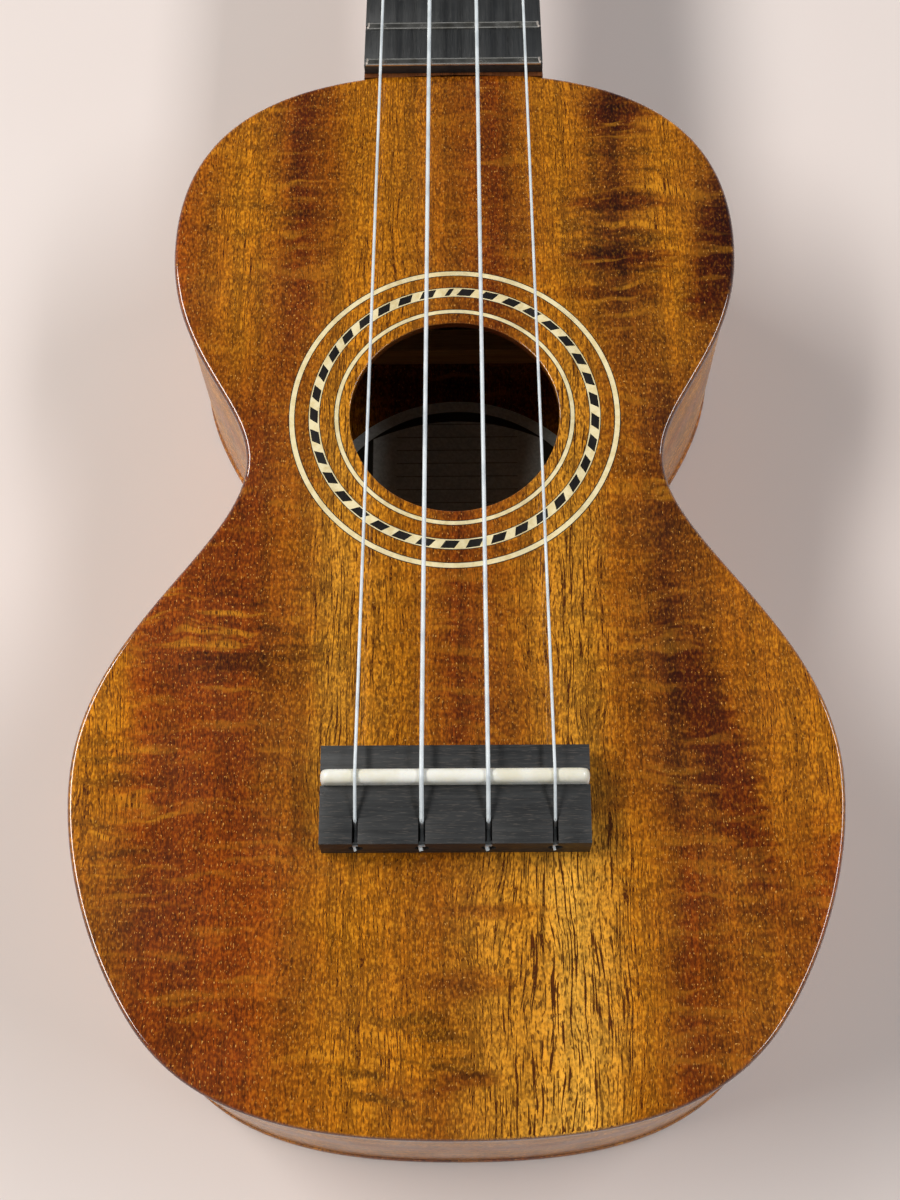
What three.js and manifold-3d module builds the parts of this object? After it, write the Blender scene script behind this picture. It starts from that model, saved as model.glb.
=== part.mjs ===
// Soprano ukulele, lying on its back. Millimetres, +Z up out of the soundboard, +Y towards the headstock.
// The instrument is laid out about the centre of its sound hole, with the outside of the back at z = 0,
// and is moved at the end so that the origin is the middle of its base.
import * as THREE from "three";
import { mergeVertices } from "three/addons/utils/BufferGeometryUtils.js";
import Module from "manifold-3d";

const wasm = await Module();
wasm.setup();

// ---------------------------------------------------------------- driving dimensions
const DEPTH = 58; // sound box, outside of the back to top of the soundboard
const PLATE = 2.25; // soundboard and back thickness
const PLATE_ROUND = 0.75; // rounding of the plates' edges
const RIB = 2; // thickness of the bent sides
const RIB_INSET = 0.5; // the plates stand this far proud of the sides
const GLUE = 0.1; // gap left at glued joints between curved faces

// Half of the body outline, from the neck joint round to the tail: ends and Bezier handles.
const NECK_JOINT = 90.6;
const TAIL = -152.4;
const UPPER_BOUT = { x: 63.6, y: 42.9 };
const WAIST = { x: 45.1, y: -11 };
const LOWER_BOUT = { x: 78.5, y: -82.3 };
const CORNER = { x: 63.4, y: -130.1 };

const HOLE_R = 22.9;
const ROSETTE = [
  { name: "rosette_inner_ring", inner: 25.2, outer: 26.35 },
  { name: "rosette_rope_ring", inner: 29.45, outer: 31.95 },
  { name: "rosette_outer_ring", inner: 34.85, outer: 36.25 },
];
const INLAY_DEPTH = 1;
const INLAY_GAP = 0.04;

const SCALE_LENGTH = 346;
const COMPENSATION = 2; // the saddle stands this far behind its calculated place
const SADDLE_Y = -83.9;
const NUT_Y = SADDLE_Y + COMPENSATION + SCALE_LENGTH;
const FRETS = 12;

const BRIDGE = { halfWidth: 26.7, front: -77.2, tail: -97.2, height: 7.5, slotStart: -92.1, slotDrop: 2.9 };
const SADDLE = { halfLength: 26.6, thickness: 2.9, top: 10.25, seat: 3 };
const BOARD = { end: 90.2, halfWidthBody: 21, halfWidthNut: 17.6, thickness: 3 };
const FRET = { halfWidth: 1, crown: 0.85, tang: 1.8, tangHalf: 0.25 };
const NUT = { thickness: 5, height: 4.9, stringFloor: 4.2 };

const HEAD_TILT = THREE.MathUtils.degToRad(12);
const HEAD_THICKNESS = 12;
const HEAD_LENGTH = 113;
const HEADPLATE = 2;
const HEADPLATE_INSET = 0.3;

const STRINGS = [
  { name: "string_g", order: -1.5, diameter: 0.66, near: true },
  { name: "string_c", order: -0.5, diameter: 0.9, near: false },
  { name: "string_e", order: 0.5, diameter: 0.86, near: false },
  { name: "string_a", order: 1.5, diameter: 0.62, near: true },
];
const SPACING_SADDLE = 13.1;
const SPACING_NUT = 9.24;

// Tuners: each stands at x = side * POST_X, y along the headstock from the nut.
const POST_X = 18;
const POST_NEAR = 38;
const POST_FAR = 78;
const TUNERS = [
  { number: 1, side: -1, along: POST_NEAR },
  { number: 2, side: -1, along: POST_FAR },
  { number: 3, side: 1, along: POST_FAR },
  { number: 4, side: 1, along: POST_NEAR },
];
const POST_R = 3;
const POST_WAIST = 2.3;
const POST_TOP = 16.5;
const STRING_AT_POST = 6.2; // height over the headstock's wood at which a string meets its post
const GEAR = {
  teeth: 16,
  pitchR: 5,
  tip: 5.5,
  root: 4.5,
  tipHalf: 0.24,
  rootHalf: 0.52,
  thickness: 2.8,
  level: -18,
};
const WORM = { offset: -7.3, root: 1.6, tip: 2.6, halfLength: 4.2 };
const BUTTON = { start: 13.5, halfWidth: 9, halfThickness: 3.3 };

const ROUND = 16; // sides of the tuners' round pieces
const RING_SIDES = 36;
const OUTLINE_STEPS = 8; // straight steps to each Bezier of the body outline

// ---------------------------------------------------------------- materials
const finish = (color, roughness, metalness = 0) =>
  new THREE.MeshStandardMaterial({ color, roughness, metalness });
const koa = () => finish(0x9a5418, 0.12);
const neckWood = () => finish(0x6e3a1c, 0.25);
const ebony = () => finish(0x26282a, 0.55);
const spruce = () => finish(0xc9a36c, 0.7);
const bone = () => finish(0xe9e2cf, 0.35);
const maple = () => finish(0xe8cf94, 0.2);
const paper = () => finish(0xb9b2a0, 0.8);
const nickel = () => finish(0xc9c9c4, 0.25, 1);
const chrome = () => finish(0xd6d8da, 0.12, 1);
const buttonBlack = () => finish(0x17171a, 0.2);
const nylon = () => finish(0xe4e6ea, 0.25);

// ---------------------------------------------------------------- solids
function solid(geometry) {
  const bare = geometry.index ? geometry.clone() : geometry;
  bare.deleteAttribute("normal");
  bare.deleteAttribute("uv");
  const merged = mergeVertices(bare, 1e-4);
  return new wasm.Manifold(
    new wasm.Mesh({
      numProp: 3,
      vertProperties: merged.attributes.position.array,
      triVerts: new Uint32Array(merged.index.array),
    }),
  );
}

function geometryOf(manifold) {
  const { vertProperties, triVerts } = manifold.getMesh();
  const geometry = new THREE.BufferGeometry();
  geometry.setAttribute("position", new THREE.BufferAttribute(new Float32Array(vertProperties), 3));
  geometry.setIndex(new THREE.BufferAttribute(new Uint32Array(triVerts), 1));
  return geometry;
}

function piece(name, shape, material) {
  const geometry = shape.isBufferGeometry ? shape : geometryOf(shape);
  const mesh = new THREE.Mesh(geometry, material);
  mesh.name = name;
  return mesh;
}

function box([x0, x1], [y0, y1], [z0, z1]) {
  const geometry = new THREE.BoxGeometry(x1 - x0, y1 - y0, z1 - z0);
  return geometry.translate((x0 + x1) / 2, (y0 + y1) / 2, (z0 + z1) / 2);
}

// A plan outline raised from z0 to z1.
function raised(shape, z0, z1) {
  return new THREE.ExtrudeGeometry(shape, { depth: z1 - z0, bevelEnabled: false }).translate(0, 0, z0);
}

// A profile given as [y, z] corners, carried across the instrument from x0 to x1.
function across(corners, x0, x1) {
  const shape = new THREE.Shape(corners.map(([y, z]) => new THREE.Vector2(y, z)));
  const geometry = new THREE.ExtrudeGeometry(shape, { depth: x1 - x0, bevelEnabled: false });
  return geometry.applyMatrix4(new THREE.Matrix4().set(0, 0, 1, x0, 1, 0, 0, 0, 0, 1, 0, 0, 0, 0, 0, 1));
}

// A profile of [radius, z] corners turned about the Z axis.
function turned(profile, sides) {
  const points = profile.map(([r, z]) => new THREE.Vector2(r, z));
  return new THREE.LatheGeometry(points, sides).rotateX(Math.PI / 2);
}

function disc(radius, z0, z1, sides) {
  return turned([[0, z1], [radius, z1], [radius, z0], [0, z0]].reverse(), sides);
}

function ring(inner, outer, z0, z1, sides) {
  return turned([[inner, z0], [outer, z0], [outer, z1], [inner, z1], [inner, z0]], sides);
}

// Closed skin over a row of rings that all have the same number of points.
function loft(rings) {
  const count = rings[0].length;
  const vertices = rings.flat().flatMap((p) => [p.x, p.y, p.z]);
  const faces = [];
  for (let i = 0; i + 1 < rings.length; i += 1) {
    for (let j = 0; j < count; j += 1) {
      const a = i * count + j;
      const b = i * count + ((j + 1) % count);
      faces.push(a, b, a + count, b, b + count, a + count);
    }
  }
  const last = (rings.length - 1) * count;
  for (let j = 1; j + 1 < count; j += 1) {
    faces.push(0, j + 1, j, last, last + j, last + j + 1);
  }
  const geometry = new THREE.BufferGeometry();
  geometry.setAttribute("position", new THREE.Float32BufferAttribute(vertices, 3));
  geometry.setIndex(faces);
  return geometry;
}

// ---------------------------------------------------------------- body outline
const point = (x, y) => new THREE.Vector2(x, y);

// Each curve is its first end, two handles and its last end.
const OUTLINE = [
  [[0, NECK_JOINT], [48.3, NECK_JOINT], [UPPER_BOUT.x, 70.8], [UPPER_BOUT.x, UPPER_BOUT.y]],
  [[UPPER_BOUT.x, UPPER_BOUT.y], [UPPER_BOUT.x, 15.5], [WAIST.x, 4.1], [WAIST.x, WAIST.y]],
  [[WAIST.x, WAIST.y], [WAIST.x, -30.8], [LOWER_BOUT.x, -49.4], [LOWER_BOUT.x, LOWER_BOUT.y]],
  [[LOWER_BOUT.x, LOWER_BOUT.y], [LOWER_BOUT.x, -100.1], [71.9, -117.7], [CORNER.x, CORNER.y]],
  [[CORNER.x, CORNER.y], [51.2, -148], [29.2, TAIL], [0, TAIL]],
].map((curve) => new THREE.CubicBezierCurve(...curve.map(([x, y]) => point(x, y))));

// The right half of the outline, moved inwards by inset, from the neck to the tail.
function halfOutline(inset) {
  const points = [];
  OUTLINE.forEach((curve, index) => {
    const first = index === 0 ? 0 : 1;
    for (let step = first; step <= OUTLINE_STEPS; step += 1) {
      const along = curve.getTangent(step / OUTLINE_STEPS);
      const at = curve.getPoint(step / OUTLINE_STEPS);
      points.push(point(Math.max(0, at.x + along.y * inset), at.y - along.x * inset));
    }
  });
  points[0].x = 0;
  points.at(-1).x = 0;
  return points;
}

function wholeOutline(inset) {
  const right = halfOutline(inset);
  const left = right.slice(1, -1).reverse().map((p) => point(-p.x, p.y));
  return new THREE.Shape([...right, ...left].reverse());
}

// Inner half-width of the body at a given y, for pieces that reach across it.
function halfWidthAt(y, inset) {
  const points = halfOutline(inset);
  const after = points.findIndex((p) => p.y <= y);
  const [a, b] = [points[after - 1], points[after]];
  return THREE.MathUtils.mapLinear(y, a.y, b.y, a.x, b.x);
}

// One side's bent strip between two insets, starting clear of the centre line.
function bentStrip(side, outer, inner, z0, z1) {
  const outside = halfOutline(outer);
  const inside = halfOutline(inner).reverse();
  const strip = [...outside, ...inside].map((p) => point(side * Math.max(p.x, GLUE / 2), p.y));
  return raised(new THREE.Shape(side > 0 ? strip.reverse() : strip), z0, z1);
}

// ---------------------------------------------------------------- sound box
const INSIDE = RIB_INSET + RIB + GLUE;
const LINING = { width: 5, height: 8 };
const NECK_BLOCK = { halfWidth: 28, inner: 68 };
const TAIL_BLOCK = { halfWidth: 26, inner: -139 };

function plate(z0) {
  const options = {
    depth: PLATE - 2 * PLATE_ROUND,
    bevelThickness: PLATE_ROUND,
    bevelSize: PLATE_ROUND,
    bevelOffset: -PLATE_ROUND,
    bevelSegments: 1,
  };
  const geometry = new THREE.ExtrudeGeometry(wholeOutline(0), options);
  return geometry.translate(0, 0, z0 + PLATE_ROUND);
}

function soundboard() {
  const underside = DEPTH - PLATE;
  let board = solid(plate(underside)).subtract(solid(disc(HOLE_R, underside - 1, DEPTH + 1, RING_SIDES)));
  for (const { inner, outer } of ROSETTE) {
    const pocket = ring(inner - INLAY_GAP, outer + INLAY_GAP, DEPTH - INLAY_DEPTH, DEPTH + 1, RING_SIDES);
    board = board.subtract(solid(pocket));
  }
  return board;
}

function block({ halfWidth, inner }, outerY) {
  const plug = solid(raised(wholeOutline(INSIDE), PLATE, DEPTH - PLATE));
  const [y0, y1] = [Math.min(inner, outerY), Math.max(inner, outerY)];
  return plug.intersect(solid(box([-halfWidth, halfWidth], [y0, y1], [0, DEPTH])));
}

// The strips that carry the plates stop short of both end blocks.
function lining(side, z0) {
  const strip = solid(bentStrip(side, INSIDE, INSIDE + LINING.width, z0, z0 + LINING.height));
  const neckHalf = NECK_BLOCK.halfWidth + GLUE;
  const tailHalf = TAIL_BLOCK.halfWidth + GLUE;
  const neckEnd = box([-neckHalf, neckHalf], [NECK_BLOCK.inner, NECK_JOINT + RIB], [0, DEPTH]);
  const tailEnd = box([-tailHalf, tailHalf], [TAIL - RIB, TAIL_BLOCK.inner], [0, DEPTH]);
  return strip.subtract(solid(neckEnd)).subtract(solid(tailEnd));
}

// Braces across the body, tapered at both ends; rise is +1 on the back and -1 under the soundboard.
const UNDERSIDE = DEPTH - PLATE;
const BRACE = { thickness: 6, taper: 16, tip: 1.2, scoop: 1.4, clearance: 0.4, steps: 4 };
const CROSS_BRACES = [
  { name: "upper_top_brace", y: 44, height: 8, z: UNDERSIDE, rise: -1 },
  { name: "lower_top_brace", y: -40, height: 8, z: UNDERSIDE, rise: -1 },
  { name: "upper_back_brace", y: 46, height: 7, z: PLATE, rise: 1 },
  { name: "lower_back_brace", y: -78, height: 7, z: PLATE, rise: 1 },
];

function crossBrace({ y, height, z, rise }) {
  const { thickness, taper, tip, scoop, clearance, steps } = BRACE;
  const inset = INSIDE + LINING.width + clearance;
  const reach = [y - thickness / 2, y + thickness / 2].map((edge) => halfWidthAt(edge, inset));
  const half = Math.min(...reach);
  const shape = new THREE.Shape();
  shape.moveTo(-half, 0);
  shape.lineTo(half, 0);
  shape.lineTo(half, tip);
  shape.quadraticCurveTo(half - taper / 2, scoop, half - taper, height);
  shape.lineTo(-half + taper, height);
  shape.quadraticCurveTo(-half + taper / 2, scoop, -half, tip);
  const options = { depth: thickness, bevelEnabled: false, curveSegments: steps };
  const geometry = new THREE.ExtrudeGeometry(shape, options);
  geometry.rotateX(Math.PI / 2).translate(0, thickness / 2, 0);
  if (rise < 0) geometry.rotateY(Math.PI);
  return geometry.translate(0, y, z);
}

const PATCH = { halfWidth: 31, halfLength: 13, thickness: 1.5 };
const BRIDGE_MIDDLE = (BRIDGE.front + BRIDGE.tail) / 2;

function bridgePatch(grow) {
  const { halfWidth, halfLength, thickness } = PATCH;
  const span = [-halfWidth - grow, halfWidth + grow];
  const length = [BRIDGE_MIDDLE - halfLength - grow, BRIDGE_MIDDLE + halfLength + grow];
  return box(span, length, [UNDERSIDE - thickness - grow, UNDERSIDE + grow]);
}

// Light braces that run down the lower bout, notched over the bridge patch. They spread towards the tail.
const FAN = {
  half: 2.5,
  height: 4.5,
  top: -44,
  bottom: -134,
  taper: 14,
  slant: 0.16,
  spread: 20,
  pivot: -90,
};

function fanBrace(place) {
  const { half, height, top, bottom, taper, slant, spread, pivot } = FAN;
  const corners = [
    [bottom, UNDERSIDE],
    [top, UNDERSIDE],
    [top, UNDERSIDE - BRACE.tip],
    [top - taper, UNDERSIDE - height],
    [bottom + taper, UNDERSIDE - height],
    [bottom, UNDERSIDE - BRACE.tip],
  ];
  const bar = across(corners.reverse(), -half, half).translate(0, -pivot, 0);
  bar.rotateZ(place * slant).translate(place * spread, pivot, 0);
  return solid(bar).subtract(solid(bridgePatch(GLUE)));
}

const LABEL = { radius: 37, thickness: 0.25, y: -5 };

function label() {
  return disc(LABEL.radius, PLATE, PLATE + LABEL.thickness, RING_SIDES).translate(0, LABEL.y, 0);
}

function soundBox() {
  const parts = [
    piece("soundboard", soundboard(), koa()),
    piece("back", plate(0), koa()),
    piece("neck_block", block(NECK_BLOCK, NECK_JOINT), spruce()),
    piece("tail_block", block(TAIL_BLOCK, TAIL), spruce()),
    ...CROSS_BRACES.map((brace) => piece(brace.name, crossBrace(brace), spruce())),
    piece("bridge_patch", bridgePatch(0), spruce()),
    piece("fan_brace_left", fanBrace(-1), spruce()),
    piece("fan_brace_centre", fanBrace(0), spruce()),
    piece("fan_brace_right", fanBrace(1), spruce()),
    piece("label", label(), paper()),
  ];
  for (const [word, side] of [["left", -1], ["right", 1]]) {
    const rib = bentStrip(side, RIB_INSET, RIB_INSET + RIB, PLATE, UNDERSIDE);
    parts.push(piece(`rib_${word}`, rib, koa()));
    parts.push(piece(`top_lining_${word}`, lining(side, UNDERSIDE - LINING.height), spruce()));
    parts.push(piece(`back_lining_${word}`, lining(side, PLATE), spruce()));
  }
  for (const { name, inner, outer } of ROSETTE) {
    parts.push(piece(name, ring(inner, outer, DEPTH - INLAY_DEPTH, DEPTH, RING_SIDES), maple()));
  }
  return parts;
}

// ---------------------------------------------------------------- bridge and saddle
const SADDLE_PLAY = 0.05; // on each side of the saddle in its seat
const SADDLE_STEPS = 8;
const SLOT_PLAY = 0.2; // on each side of a string in its slot

function bridge() {
  const { halfWidth, front, tail, height, slotStart, slotDrop } = BRIDGE;
  const top = DEPTH + height;
  const seatHalf = SADDLE.thickness / 2 + SADDLE_PLAY;
  const seat = box(
    [-halfWidth - 1, halfWidth + 1],
    [SADDLE_Y - seatHalf, SADDLE_Y + seatHalf],
    [DEPTH + SADDLE.seat, top + 1],
  );
  let body = solid(box([-halfWidth, halfWidth], [tail, front], [DEPTH, top])).subtract(solid(seat));
  const slope = slotDrop / (slotStart - tail);
  const past = tail - 1;
  const wedge = [[slotStart, top], [slotStart, top + 1], [past, top + 1], [past, top - slotDrop - slope]];
  for (const { order, diameter } of STRINGS) {
    const x = order * SPACING_SADDLE;
    const slotHalf = diameter / 2 + SLOT_PLAY;
    body = body.subtract(solid(across(wedge, x - slotHalf, x + slotHalf)));
  }
  return body;
}

// Points on a half circle or half ellipse from +y to -y, as [y, z].
function crown(y, z, halfWidth, height, steps) {
  return Array.from({ length: steps + 1 }, (_, i) => {
    const angle = (Math.PI * i) / steps;
    return [y + halfWidth * Math.cos(angle), z + height * Math.sin(angle)];
  });
}

function saddle() {
  const half = SADDLE.thickness / 2;
  const foot = DEPTH + SADDLE.seat;
  const top = crown(SADDLE_Y, DEPTH + SADDLE.top - half, half, half, SADDLE_STEPS);
  const corners = [[SADDLE_Y - half, foot], [SADDLE_Y + half, foot], ...top];
  return across(corners, -SADDLE.halfLength, SADDLE.halfLength);
}

// ---------------------------------------------------------------- fretboard, frets and nut
const BOARD_TOP = DEPTH + BOARD.thickness;

function boardHalfWidth(y) {
  return THREE.MathUtils.mapLinear(y, BOARD.end, NUT_Y, BOARD.halfWidthBody, BOARD.halfWidthNut);
}

const fretY = (number) => NUT_Y - SCALE_LENGTH * (1 - 2 ** (-number / 12));

const FRET_PLAY = 0.05; // on each side of a fret's tang in its slot
const TANG_PLAY = 0.1; // under the tang
const FRET_SHORT = 0.35; // the frets stop this far inside the board's edges
const FRET_STEPS = 6;

function fretboard() {
  const [body, nutHalf] = [BOARD.halfWidthBody, BOARD.halfWidthNut];
  const corners = [[-body, BOARD.end], [body, BOARD.end], [nutHalf, NUT_Y], [-nutHalf, NUT_Y]];
  const plan = new THREE.Shape(corners.map(([x, y]) => point(x, y)));
  let board = solid(raised(plan, DEPTH, BOARD_TOP));
  const half = FRET.tangHalf + FRET_PLAY;
  for (let number = 1; number <= FRETS; number += 1) {
    const y = fretY(number);
    const depth = [BOARD_TOP - FRET.tang - TANG_PLAY, BOARD_TOP + 1];
    board = board.subtract(solid(box([-body - 1, body + 1], [y - half, y + half], depth)));
  }
  return board;
}

function fret(number) {
  const y = fretY(number);
  const { halfWidth, crown: height, tang, tangHalf } = FRET;
  const corners = [
    [y - tangHalf, BOARD_TOP],
    [y - tangHalf, BOARD_TOP - tang],
    [y + tangHalf, BOARD_TOP - tang],
    [y + tangHalf, BOARD_TOP],
    ...crown(y, BOARD_TOP, halfWidth, height, FRET_STEPS),
  ];
  const half = boardHalfWidth(y) - FRET_SHORT;
  return across(corners, -half, half);
}

// The strings' height over the neck plane falls over the nut towards the headstock.
const NUT_SLOPE = 0.12;
const NUT_PLAY = 0.12; // on each side of a string in its slot
// Rounding of the nut's back edge, as [y, z] from its corner.
const NUT_BACK = [[0, -1.3], [-1, -0.5], [-2.6, 0]];

function nut() {
  const back = NUT_Y + NUT.thickness;
  const top = DEPTH + NUT.height;
  const rounding = NUT_BACK.map(([y, z]) => [back + y, top + z]);
  const profile = [[NUT_Y, DEPTH], [back, DEPTH], ...rounding, [NUT_Y, top]];
  let body = solid(across(profile, -BOARD.halfWidthNut, BOARD.halfWidthNut));
  const floor = DEPTH + NUT.stringFloor;
  const backFloor = floor - NUT_SLOPE * (NUT.thickness + 1);
  const slot = [
    [NUT_Y - 1, floor],
    [NUT_Y, floor],
    [back + 1, backFloor],
    [back + 1, top + 1],
    [NUT_Y - 1, top + 1],
  ];
  for (const { order, diameter } of STRINGS) {
    const x = order * SPACING_NUT;
    const half = diameter / 2 + NUT_PLAY;
    body = body.subtract(solid(across(slot, x - half, x + half)));
  }
  return body;
}

// ---------------------------------------------------------------- neck and headstock
const HEAD_START = NUT_Y + NUT.thickness;
const headFrame = new THREE.Matrix4()
  .makeTranslation(0, HEAD_START, DEPTH)
  .multiply(new THREE.Matrix4().makeRotationX(-HEAD_TILT));

function headOutline(inset) {
  const half = BOARD.halfWidthNut - inset;
  const crest = HEAD_LENGTH - inset;
  const shape = new THREE.Shape();
  shape.moveTo(-half, inset);
  shape.lineTo(half, inset);
  shape.bezierCurveTo(half, 12, 26.5 - inset, 12, 27 - inset, 26);
  shape.bezierCurveTo(27.5 - inset, 50, 26 - inset, 70, 29 - inset, crest - 12);
  shape.bezierCurveTo(29.6 - inset, crest - 5, 24 - inset, crest - 4.5, 17, crest - 3);
  shape.bezierCurveTo(11, crest - 1.2, 5, crest, 0, crest);
  shape.bezierCurveTo(-5, crest, -11, crest - 1.2, -17, crest - 3);
  shape.bezierCurveTo(-24 + inset, crest - 4.5, -29.6 + inset, crest - 5, -29 + inset, crest - 12);
  shape.bezierCurveTo(-26 + inset, 70, -27.5 + inset, 50, -27 + inset, 26);
  shape.bezierCurveTo(-26.5 + inset, 12, -half, 12, -half, inset);
  return shape;
}

function headSlab(inset, z0, z1) {
  const options = { depth: z1 - z0, bevelEnabled: false, curveSegments: 6 };
  return new THREE.ExtrudeGeometry(headOutline(inset), options).translate(0, 0, z0);
}

const BUSHING_HOLE = 4.2;

function tunerHoles() {
  const [below, above] = [-2 * HEAD_THICKNESS, HEAD_THICKNESS];
  return TUNERS.map(({ side, along }) => {
    const drill = disc(BUSHING_HOLE, below, above, ROUND);
    return drill.translate(side * POST_X, along, 0);
  });
}

const NECK_STEPS = 12; // straight steps to each cross-section of the neck

// One cross-section of the neck: a flat top and a rounded belly of the given depth and squareness.
function neckSection(halfWidth, depth, square, place) {
  const steps = NECK_STEPS;
  const points = [];
  for (let i = 0; i <= steps; i += 1) {
    const angle = (Math.PI * i) / steps;
    const [c, s] = [Math.cos(angle), Math.sin(angle)];
    const x = halfWidth * Math.sign(c) * Math.abs(c) ** (2 / square);
    const z = -depth * Math.abs(s) ** (2 / square);
    points.push(new THREE.Vector3(x, 0, z).applyMatrix4(place));
  }
  return points;
}

const HEEL = { cap: 105, top: 131, depth: 61, floor: 3 };
const SHAFT = { heelDepth: 16, nutDepth: 13.5, square: 2.2, nutSquare: 2.3 };
const NECK_STATIONS = [86, HEEL.cap, 105.3, 106.2, 108, 111, 115, 120, 125.5, HEEL.top, 160, 200, 240, 262];

// Where the shaft swells into the headstock: distance along it, half-width, depth and squareness.
const VOLUTE = [
  { along: 7, halfWidth: 18.2, depth: 12.6, square: 3 },
  { along: 13, halfWidth: 20.6, depth: 12, square: 4.5 },
  { along: 20, halfWidth: 24.5, depth: HEAD_THICKNESS, square: 8 },
];
const SLAB_START = 17; // the headstock's flat slab starts this far from the nut

// Depth of the neck under its flat top: a deep heel at the body that sweeps up into the slim shaft.
function neckDepth(y) {
  if (y <= HEEL.cap) return HEEL.depth;
  if (y >= HEEL.top) return THREE.MathUtils.mapLinear(y, HEEL.top, NUT_Y, SHAFT.heelDepth, SHAFT.nutDepth);
  const t = (HEEL.top - y) / (HEEL.top - HEEL.cap);
  return SHAFT.heelDepth + (HEEL.depth - SHAFT.heelDepth) * (1 - Math.sqrt(1 - t ** 2));
}

function neck() {
  const upright = (y) => new THREE.Matrix4().makeTranslation(0, y, DEPTH);
  const rings = NECK_STATIONS.map((y) =>
    neckSection(boardHalfWidth(y), neckDepth(y), SHAFT.square, upright(y)),
  );
  rings.push(neckSection(BOARD.halfWidthNut, SHAFT.nutDepth, SHAFT.nutSquare, upright(HEAD_START - 0.5)));
  for (const { along, halfWidth, depth, square } of VOLUTE) {
    const place = headFrame.clone().multiply(new THREE.Matrix4().makeTranslation(0, along, 0));
    rings.push(neckSection(halfWidth, depth, square, place));
  }
  const wide = 2 * BOARD.halfWidthBody;
  const start = box([-wide, wide], [-1, SLAB_START], [-2 * HEAD_THICKNESS, HEAD_THICKNESS]);
  let slab = solid(headSlab(0, -HEAD_THICKNESS, 0)).subtract(solid(start));
  for (const hole of tunerHoles()) slab = slab.subtract(solid(hole));
  const head = solid(geometryOf(slab).applyMatrix4(headFrame));
  const body = solid(raised(wholeOutline(-GLUE), -HEEL.floor, DEPTH + HEEL.floor));
  const below = solid(box([-wide, wide], [0, HEEL.top], [DEPTH - HEEL.depth - HEEL.floor, HEEL.floor]));
  return solid(loft(rings)).add(head).subtract(body).subtract(below);
}

function headplate() {
  let veneer = solid(headSlab(HEADPLATE_INSET, GLUE, GLUE + HEADPLATE));
  for (const hole of tunerHoles()) veneer = veneer.subtract(solid(hole));
  return veneer;
}

// ---------------------------------------------------------------- tuners
// Each tuner is laid out about its post: z = 0 is the headstock's wood, u points out to its own side.
const HOUSING = {
  top: -HEAD_THICKNESS - GLUE,
  bottom: -23,
  inner: -7.4,
  outer: 8,
  near: -11.6,
  far: 7.8,
  corner: 2.5,
};
const EAR = { half: 4, reach: 6, thickness: 2, corner: 3.4 };
const GEAR_ROOM = { radius: 5.9, top: -14 };
const WORM_ROOM = { half: 5.6, radius: 2.9, inner: -3 };
const FLOOR = -22; // top of the housing's floor
const PIVOT_HOLE = 1.72;
const POST_PLAY = 0.15;
const SCREW_HOLE = 1.2;
const SCREW_SIDES = 16;
const CORNER_STEPS = 4;

function roundedPlan(u0, u1, v0, v1, radius, side) {
  const corners = [[u0, v0, Math.PI], [u1, v0, 1.5 * Math.PI], [u1, v1, 0], [u0, v1, 0.5 * Math.PI]];
  const points = [];
  for (const [u, v, start] of corners) {
    const centreU = u === u0 ? u0 + radius : u1 - radius;
    const centreV = v === v0 ? v0 + radius : v1 - radius;
    for (let i = 0; i <= CORNER_STEPS; i += 1) {
      const angle = start + (Math.PI / 2) * (i / CORNER_STEPS);
      const across = side * (centreU + radius * Math.cos(angle));
      points.push(point(across, centreV + radius * Math.sin(angle)));
    }
  }
  return new THREE.Shape(side > 0 ? points : points.reverse());
}

function housing(side) {
  const { top, bottom, inner, outer, near, far, corner } = HOUSING;
  const shell = solid(raised(roundedPlan(inner, outer, near, far, corner, side), bottom, top));
  const earPlan = roundedPlan(-EAR.half, EAR.half, far - EAR.half, far + EAR.reach, EAR.corner, side);
  const ear = solid(raised(earPlan, top - EAR.thickness, top));
  const gearRoom = solid(disc(GEAR_ROOM.radius, FLOOR, GEAR_ROOM.top, ROUND));
  const wormLevel = [GEAR.level - WORM_ROOM.radius, GEAR.level + WORM_ROOM.radius];
  const wormSpan = [WORM.offset - WORM_ROOM.radius, WORM_ROOM.inner];
  const wormRoom = solid(box([-WORM_ROOM.half, WORM_ROOM.half], wormSpan, wormLevel));
  const postHole = solid(disc(POST_R + POST_PLAY, GEAR_ROOM.top - 2, top + 2, ROUND));
  const screwHole = solid(disc(SCREW_HOLE, bottom - 1, FLOOR + 1, SCREW_SIDES));
  const earDrill = disc(SCREW_HOLE, top - EAR.thickness - 1, top + 1, SCREW_SIDES);
  const earHole = solid(earDrill.translate(0, far + EAR.reach / 2, 0));
  const shaftDrill = disc(PIVOT_HOLE, outer / 2, 1.5 * outer, SCREW_SIDES);
  shaftDrill.rotateY((side * Math.PI) / 2).translate(0, WORM.offset, GEAR.level);
  return [gearRoom, wormRoom, postHole, screwHole, earHole, solid(shaftDrill)]
    .reduce((body, cut) => body.subtract(cut), shell.add(ear));
}

const BUSHING = { radius: 4, bottom: -10, flange: 6, flangeHeight: 1.4, top: 2.4, topRadius: 5, play: 0.1 };

function bushing() {
  const { radius, bottom, flange, flangeHeight, top, topRadius, play } = BUSHING;
  const above = GLUE + HEADPLATE + GLUE;
  const bore = POST_R + play;
  const profile = [
    [bore, bottom],
    [radius, bottom],
    [radius, above],
    [flange, above],
    [flange, above + flangeHeight],
    [topRadius, above + top],
    [bore, above + top],
  ];
  return turned([...profile, profile[0]], ROUND);
}

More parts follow.
